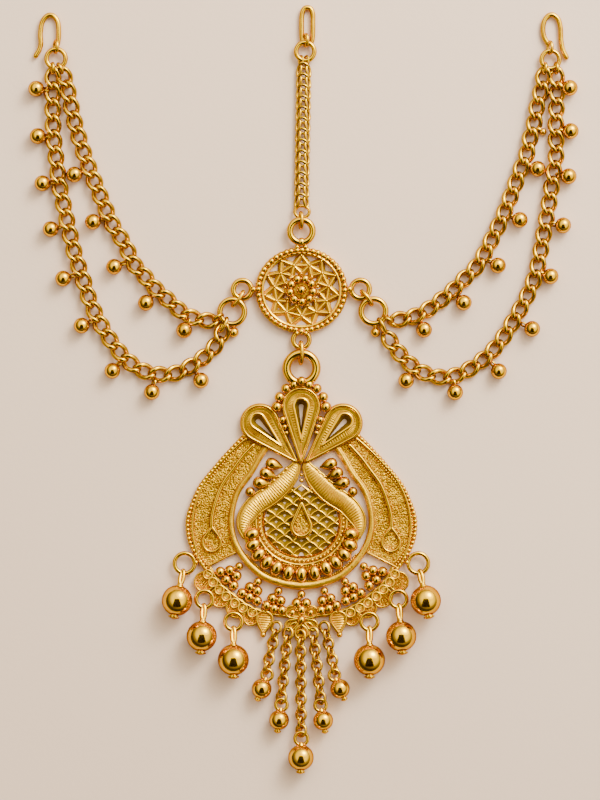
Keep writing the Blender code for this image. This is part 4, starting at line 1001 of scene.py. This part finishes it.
def oval(centre, along, half_length, half_width, height=(0.0, 0.0), roll=0.0, twist=0.0, steps=30):
    """The centreline of an oval link in metres, rolled about its length and twisted like a curb link."""
    along = unit(np.asarray(along, float))
    side = unit(np.cross((0.0, 0.0, 1.0), along))
    up = np.cross(along, side)
    turns = circle(steps)
    reach = np.cos(turns)
    angle = roll + reach * twist
    swing = half_width * np.sin(turns)
    lift = height[0] + (height[1] - height[0]) * (reach + 1) / 2
    return (
        np.asarray(centre)
        + (half_length * reach)[:, None] * along
        + (swing * np.cos(angle))[:, None] * side
        + (swing * np.sin(angle) + lift)[:, None] * up
    )


def along_path(path, station):
    """The point and the direction at a length along the path."""
    lengths = lengths_along(path)
    step = 0.0006
    point, ahead, behind = (
        np.array([np.interp(value, lengths, path[:, axis]) for axis in range(3)])
        for value in (station, min(station + step, lengths[-1]), max(station - step, 0.0))
    )
    return point, unit(ahead - behind), lengths[-1]


BALL_COLLAR = lathe([(2.4 * PX, -1.2 * PX), (2.6 * PX, -0.3 * PX), (1.2 * PX, 0.6 * PX)], 18)


def build_curb_chain(name, route, beads, last_link):
    chain = Piece(f"{name}_links", "chain_gold")
    path = curve(route, CHAIN_HEIGHT, 2.0)
    length = along_path(path, 0.0)[2]
    first = CHAIN_END_REACH * PX
    count = round((length - 2 * first) / (CURB_PITCH * PX))
    pitch = (length - 2 * first) / count
    for index in range(count + 1):
        point, along, _ = along_path(path, first + index * pitch)
        chain.link(point, along, CURB_HALF_LENGTH, CURB_HALF_WIDTH, CURB_WIRE, twist=CURB_TWIST)
    point, along, _ = along_path(path, 0.0)
    chain.link(point - along * PX + (0, 0, 0.0007), along, 4.8, 3.6, 1.8, roll=math.radians(74))
    low, high = (at(*point, END_LINK_HEIGHT) for point in last_link)
    half = np.linalg.norm(high - low) / 2 / PX - 1.8
    chain.link((low + high) / 2, high - low, half, 4.4, 1.9, sides=12, roll=UPRIGHT_ROLL)
    for x, y, radius in ((*bead, SIDE_BEAD_RADIUS)[:3] for bead in beads):
        place = at(x, y, radius * PX)
        nearest = path[np.argmin(np.linalg.norm(path[:, :2] - place[:2], axis=1))]
        outwards = unit((place - nearest) * (1, 1, 0))
        chain.bead(x, y, radius * PX, radius, BALL)
        eye = place - outwards * (radius + 1.3) * PX
        eye[2] = BEAD_EYE_HEIGHT
        chain.link(eye, outwards, 3.3, 2.3, 1.1, sides=8, roll=math.radians(50))
        chain.add(placed(BALL_COLLAR, place - outwards * (radius - 0.2) * PX, aim=-outwards), "chain")
    chain.make(name)


def build_centre_chain():
    chain = Piece("centre_chain_links", "chain_gold")
    top, bottom = line(CENTRE_CHAIN, CHAIN_HEIGHT)
    along = unit(bottom - top)
    side = np.array((-along[1], along[0], 0.0))
    pitch = CENTRE_PITCH * PX
    for index in range(int(np.linalg.norm(bottom - top) / pitch) + 1):
        middle = top + along * pitch * index + (0, 0, 0.0003)
        chain.link(middle, side + along * 0.35, 4.4, 2.5, 1.45, roll=math.radians(28))
        for way in (1, -1):
            centre = middle + along * pitch * 0.5 + side * way * 4.5 * PX - (0, 0, 0.0003)
            chain.link(centre, along + side * way * 0.16, 5.7, 2.6, 1.45, roll=way * math.radians(-50))
    for eyelet in EYELETS:
        chain.link(at(*eyelet, LOW_RING_PLANE), along, 4.4, 2.9, 1.2, sides=8, roll=math.radians(40))
    chain.make("centre_chain")
    loop = Piece("jump_loop_wire", "polished_gold")
    loop.link(at(*JUMP_LOOP, LOW_RING_PLANE), side, 7.3, 5.9, 1.7, "wire", 12)
    loop.make("jump_loop")


TASSEL_RING_HEIGHT = 0.0021


def build_tassel():
    for number, (top, (x, y, outer), (ball_x, ball_y, radius)) in enumerate(TASSELS, 1):
        chain = Piece(f"tassel_links_{number}", "chain_gold")
        start, end = at(*top, TASSEL_HEIGHT), at(x, y - outer, TASSEL_HEIGHT)
        count = max(2, round(np.linalg.norm(end - start) / (TASSEL_PITCH * PX)))
        for index in range(count + 1):
            middle = start + (end - start) * index / count
            roll = math.radians(-62 if index % 2 else 22)
            chain.link(middle, end - start, 5.7, 4.9, 1.6, roll=roll, twist=0.25)
        chain.make(f"tassel_chain_{number}")
        drop = Piece(f"tassel_drop_{number}", "polished_gold")
        drop.ring(x, y, TASSEL_RING_HEIGHT, outer - 1.6, 1.75)
        centre = at(ball_x, ball_y, radius * PX)
        down = unit((centre - at(x, y)) * (1, 1, 0))
        add_ball(drop, centre, down, radius, 0.36, TASSEL_RING_HEIGHT)
        drop.make(f"tassel_ball_{number}")


# Profiles of a ball's closing cap and of its collar: shares of the cap's radius, and pixels past the ball
CAP_PROFILE = (
    (0.72, -1.6), (0.72, 0.5), (0.98, 0.7), (1.0, 1.3), (0.94, 2.2), (0.55, 2.9), (0.45, 3.2), (0.0, 3.6),
)
COLLAR_PROFILE = ((0.78, -1.2), (0.72, 0.3), (0.55, 1.4), (0.5, 2.6), (0.3, 3.4))


def add_ball(piece, centre, down, radius, cap_share, neck_height):
    """A hollow ball with a collar over it, and the little flanged cap that closes it below."""
    cap = cap_share * radius
    piece.add(placed(BALL, centre, radius * PX))
    closing = lathe([(max(cap * share, 0.05) * PX, (radius + past) * PX) for share, past in CAP_PROFILE], 28)
    piece.add(placed(closing, centre, aim=down + np.array((0, 0, 0.12))))
    collar = lathe([(cap * share * PX, past * PX) for share, past in COLLAR_PROFILE], 24)
    slope = -down + np.array((0, 0, -(centre[2] - neck_height) / ((radius + 8) * PX) * 0.4))
    piece.add(placed(collar, centre - down * (radius - 0.8) * PX, aim=slope))


def build_drops():
    for name, flip in (("right", same), ("left", mirror)):
        for number, (ring, ball) in enumerate(zip(DROP_RINGS, DROP_BALLS), 1):
            drop = Piece(f"drop_beads_{name}_{number}", "polished_gold")
            (x, y, outer), (ball_x, ball_y, radius) = flip([ring, ball])
            centre = at(ball_x, ball_y, radius * PX)
            down = unit((centre - at(x, y)) * (1, 1, 0))
            add_ball(drop, centre, down, radius, 0.37, DROP_RING_PLANE)
            low = centre - down * (radius + 1.5) * PX
            high = at(x, y) + down * (outer - 4.8) * PX
            middle = (low + high) / 2
            middle[2] = DROP_RING_PLANE + 0.0006
            half = np.linalg.norm((low - high) * (1, 1, 0)) / 2 / PX
            drop.link(middle, down, half, 1.8, 2.05, "polished", 12, roll=math.radians(20),
                      twist=math.radians(-26), height=(-0.0006, 0.0011))
            drop.make(f"drop_{name}_{number}")


def build_medallion():
    tray = Piece("medallion_lattice", "polished_gold")

    def around(half_x, half_y, steps):
        return ellipse(MEDALLION, half_x, half_y, 0, 360, steps + 1)[:-1]

    tray.plate(around(46.0, 42.7, 96), 0.0001, 0.0015, "satin", [around(37.5, 35.0, 96)], 0.0002)
    tray.wire(line(around(39.0, 36.9, 120), MEDALLION_TOP), 1.15, sides=8, closed=True)
    row = even(line(ellipse(MEDALLION, 43.2, 40.0, 0, 360, 241), MEDALLION_TOP), PX, closed=True)
    places = [row[int(index * len(row) / RIM_BEADS)] for index in range(RIM_BEADS)]
    tray.beads(places, RIM_BEAD_RADIUS, "polished", BEAD)
    step = 2 * math.pi / STAR_POINTS

    def spot(turn, share, height=STAR_HEIGHT):
        x = MEDALLION[0] + STAR_HALF_SIZE[0] * share * math.sin(turn)
        return at(x, MEDALLION[1] + STAR_HALF_SIZE[1] * share * math.cos(turn), height)

    def bar(start, end, points, wire):
        path = np.linspace(start, end, points)
        # A broad bar of darker hatched gold under each wire fills much of the gap: painted shade where the
        # surface below is seen.
        tray.add(rib(path, 4.0 * PX, 6.6 * PX, 0.0001, 0.0007), "hatched")
        tray.wire(path + (0, 0, MEDALLION_TOP - 0.0003 - STAR_HEIGHT), wire, sides=8)

    for index in range(STAR_POINTS):
        here, there, between = (index + 0.5) * step, (index + 1.5) * step, (index + 1.0) * step
        for turn, share in (
            (here, STAR_RIM), (there, STAR_RIM), (here, STAR_INSIDE), (there, STAR_INSIDE),
            (between + step, STAR_MIDDLE),
        ):
            bar(spot(between, STAR_MIDDLE), spot(turn, share), 6, 0.75)
        for start, end in ((0.46, 0.30), (0.96, 1.0)):
            bar(spot(here, start), spot(here, end), 4, 0.8)
        for turn, share, radius in ((here, 0.95, 1.6), (between, STAR_MIDDLE, 1.9), (here, STAR_INSIDE, 1.4)):
            tray.beads([spot(turn, share, MEDALLION_TOP - 0.0002)], radius)
    base = ellipse(MEDALLION, CLUSTER_BASE, CLUSTER_BASE, 0, 360, 40)[:-1]
    tray.plate(base, 0.0005, 0.0016)
    tray.bead(*MEDALLION, CENTRE_BALL_HEIGHT, 4.9)
    for index in range(CLUSTER_BALLS):
        for reach, radius, shift, height in CLUSTER_ROWS:
            angle = 2 * math.pi * (index + shift) / CLUSTER_BALLS + CLUSTER_TURN
            x, y = MEDALLION[0] + reach * math.cos(angle), MEDALLION[1] + reach * math.sin(angle)
            tray.bead(x, y, height, radius)
    for details in MEDALLION_RINGS:
        tray.ring(*details)
    for x, y, radius in MEDALLION_SOLDER:
        tray.bead(x, y, SOLDER_HEIGHT, radius)
    tray.make("medallion")


def build_upright_links():
    """The links that are seen on edge between the medallion's rings and their neighbours."""
    for node, start, end, half_width, wire in UPRIGHT_LINKS:
        joint = Piece(f"{node}_wire", "polished_gold")
        first, last = at(*start, UPRIGHT_HEIGHT), at(*end, UPRIGHT_HEIGHT)
        half = np.linalg.norm(last - first) / 2 / PX - 0.2
        middle = (first + last) / 2
        joint.link(middle, last - first, half, half_width, wire, "wire", 12, roll=UPRIGHT_ROLL)
        joint.make(node)


def build_side_rings():
    for name, centre, (x, y, radius) in SIDE_RINGS:
        ring = Piece(f"side_ring_wire_{name}", "polished_gold")
        ring.ring(*centre, SIDE_RING_HEIGHT, 12.3, 2.9, sides=18, steps=64)
        ring.bead(x, y, radius * PX, radius)
        ring.bead(x - 0.3, y - radius - 1.2, 0.0014, 2.4, GRAIN)
        ring.make(f"side_ring_{name}")


def build_hooks():
    for node, path, eye in HOOKS:
        hook = Piece(f"{node}_wire", "polished_gold")
        hook.wire(curve(path, HOOK_HEIGHT, 1.4), 2.5, sides=16)
        place = at(*eye, HOOK_EYE_HEIGHT)
        hook.link(place, (0.0, -1.0, 0.0), 5.6, 4.2, 1.8, "wire", 12, roll=HOOK_EYE_ROLL)
        hook.make(node)
    for node, x, y, outer in HOOK_RINGS:
        ring = Piece(f"{node}_wire", "polished_gold")
        ring.ring(x, y, RING_PLANE - 0.0006, outer - 2.3, 2.4, sides=16, steps=56)
        ring.make(node)


build_wings()
build_hoop()
build_petals()
build_s_leaves()
build_lattice()
build_pendant_beads()
build_flower()
build_lower_border()
build_pendant_rings()
build_medallion()
build_upright_links()
build_side_rings()
build_hooks()
build_curb_chain("outer_chain_left", OUTER_LEFT, OUTER_LEFT_BEADS, OUTER_LEFT_END)
build_curb_chain("inner_chain_left", INNER_LEFT, INNER_LEFT_BEADS, INNER_LEFT_END)
build_curb_chain("outer_chain_right", OUTER_RIGHT, OUTER_RIGHT_BEADS, OUTER_RIGHT_END)
build_curb_chain("inner_chain_right", INNER_RIGHT, [*INNER_RIGHT_BEADS, SMALL_BEAD], INNER_RIGHT_END)
build_centre_chain()
build_tassel()
build_drops()


FLOOR_HALF, FLOOR_DROP = 2.5, -0.00003
FLOOR_TONES = ((0.2, (0.800, 0.595, 0.425, 1.0)), (0.8, (0.825, 0.615, 0.440, 1.0)))
# The dark card over the work: its corners from the middle, and its height
CARD_CORNERS = ((-0.35, 0.29), (0.35, 0.29), (1.0, -1.45), (-1.0, -1.45))
CARD_HEIGHT = 1.15
# The soft key light: sizes and watts of its disks, and their place from the middle
KEY_DISKS = ((0.34, 7.5), (0.62, 6.5), (1.10, 6.0))
KEY_PLACE = (0.42, 0.60, 0.56)
SKY_DIRECTION = (0.22, 0.32, 0.92)
SKY_TONES = (
    (0.05, (0.03, 0.025, 0.02, 1.0)), (0.36, (0.22, 0.18, 0.13, 1.0)), (0.74, (1.0, 0.93, 0.80, 1.0)),
)
SKY_STRENGTH = 2.65
CAMERA_DISTANCE, SENSOR_WIDTH = 1.0, 36.0


def panel(name, corners, material):
    """One flat face from its corners."""
    mesh = bpy.data.meshes.new(name)
    mesh.from_pydata(corners, [], [(0, 1, 2, 3)])
    mesh.materials.append(material)
    return show(name, mesh)


def build_stage():
    """A plain pale surface, the camera straight above it, one soft light and a dark card."""
    middle = at(PHOTO_WIDTH / 2, PHOTO_HEIGHT / 2)
    paper = Nodes("pale_surface")
    paper.link(paper.ramp(paper.noise(14.0, 4.0), FLOOR_TONES), paper.shader.inputs["Base Color"])
    paper.shader.inputs["Roughness"].default_value = 0.65
    paper.link(paper.bump(paper.noise(700.0, 3.0), 0.15, 0.0003), paper.shader.inputs["Normal"])
    square = [(x * FLOOR_HALF, y * FLOOR_HALF, FLOOR_DROP) for x, y in ((-1, -1), (1, -1), (1, 1), (-1, 1))]
    floor = panel("surface", square, paper.material)
    black = Nodes("dark_card")
    black.shader.inputs["Base Color"].default_value = (0.01, 0.01, 0.01, 1.0)
    black.shader.inputs["Roughness"].default_value = 0.9
    corners = [(middle[0] + x, middle[1] + y, CARD_HEIGHT) for x, y in CARD_CORNERS]
    panel("dark_card", corners, black.material)

    for number, (size, energy) in enumerate(KEY_DISKS, 1):
        key_data = bpy.data.lights.new(f"key_{number}", "AREA")
        key_data.shape = "DISK"
        key_data.size = size
        key_data.energy = energy
        key = show(f"key_{number}", key_data)
        key.location = middle + KEY_PLACE
        key.rotation_euler = (Vector(middle) - key.location).to_track_quat("-Z", "Y").to_euler()

    world = bpy.data.worlds.new("room")
    world.use_nodes = True
    tree = world.node_tree
    place = tree.nodes.new("ShaderNodeTexCoord")
    towards = tree.nodes.new("ShaderNodeVectorMath")
    towards.operation = "DOT_PRODUCT"
    towards.inputs[1].default_value = SKY_DIRECTION
    tree.links.new(place.outputs["Generated"], towards.inputs[0])
    sky = tree.nodes.new("ShaderNodeValToRGB")
    sky.color_ramp.elements.new(0.5)
    for element, (position, colour) in zip(sky.color_ramp.elements, SKY_TONES):
        element.position = position
        element.color = colour
    tree.links.new(towards.outputs["Value"], sky.inputs["Fac"])
    tree.links.new(sky.outputs["Color"], tree.nodes["Background"].inputs["Color"])
    tree.nodes["Background"].inputs["Strength"].default_value = SKY_STRENGTH
    bpy.context.scene.world = world

    camera_data = bpy.data.cameras.new("camera")
    camera_data.sensor_width = SENSOR_WIDTH
    camera_data.lens = SENSOR_WIDTH * CAMERA_DISTANCE / (PHOTO_HEIGHT * PX)
    camera = show("camera", camera_data)
    camera.location = (middle[0], middle[1], CAMERA_DISTANCE)
    bpy.context.scene.camera = camera


build_stage()
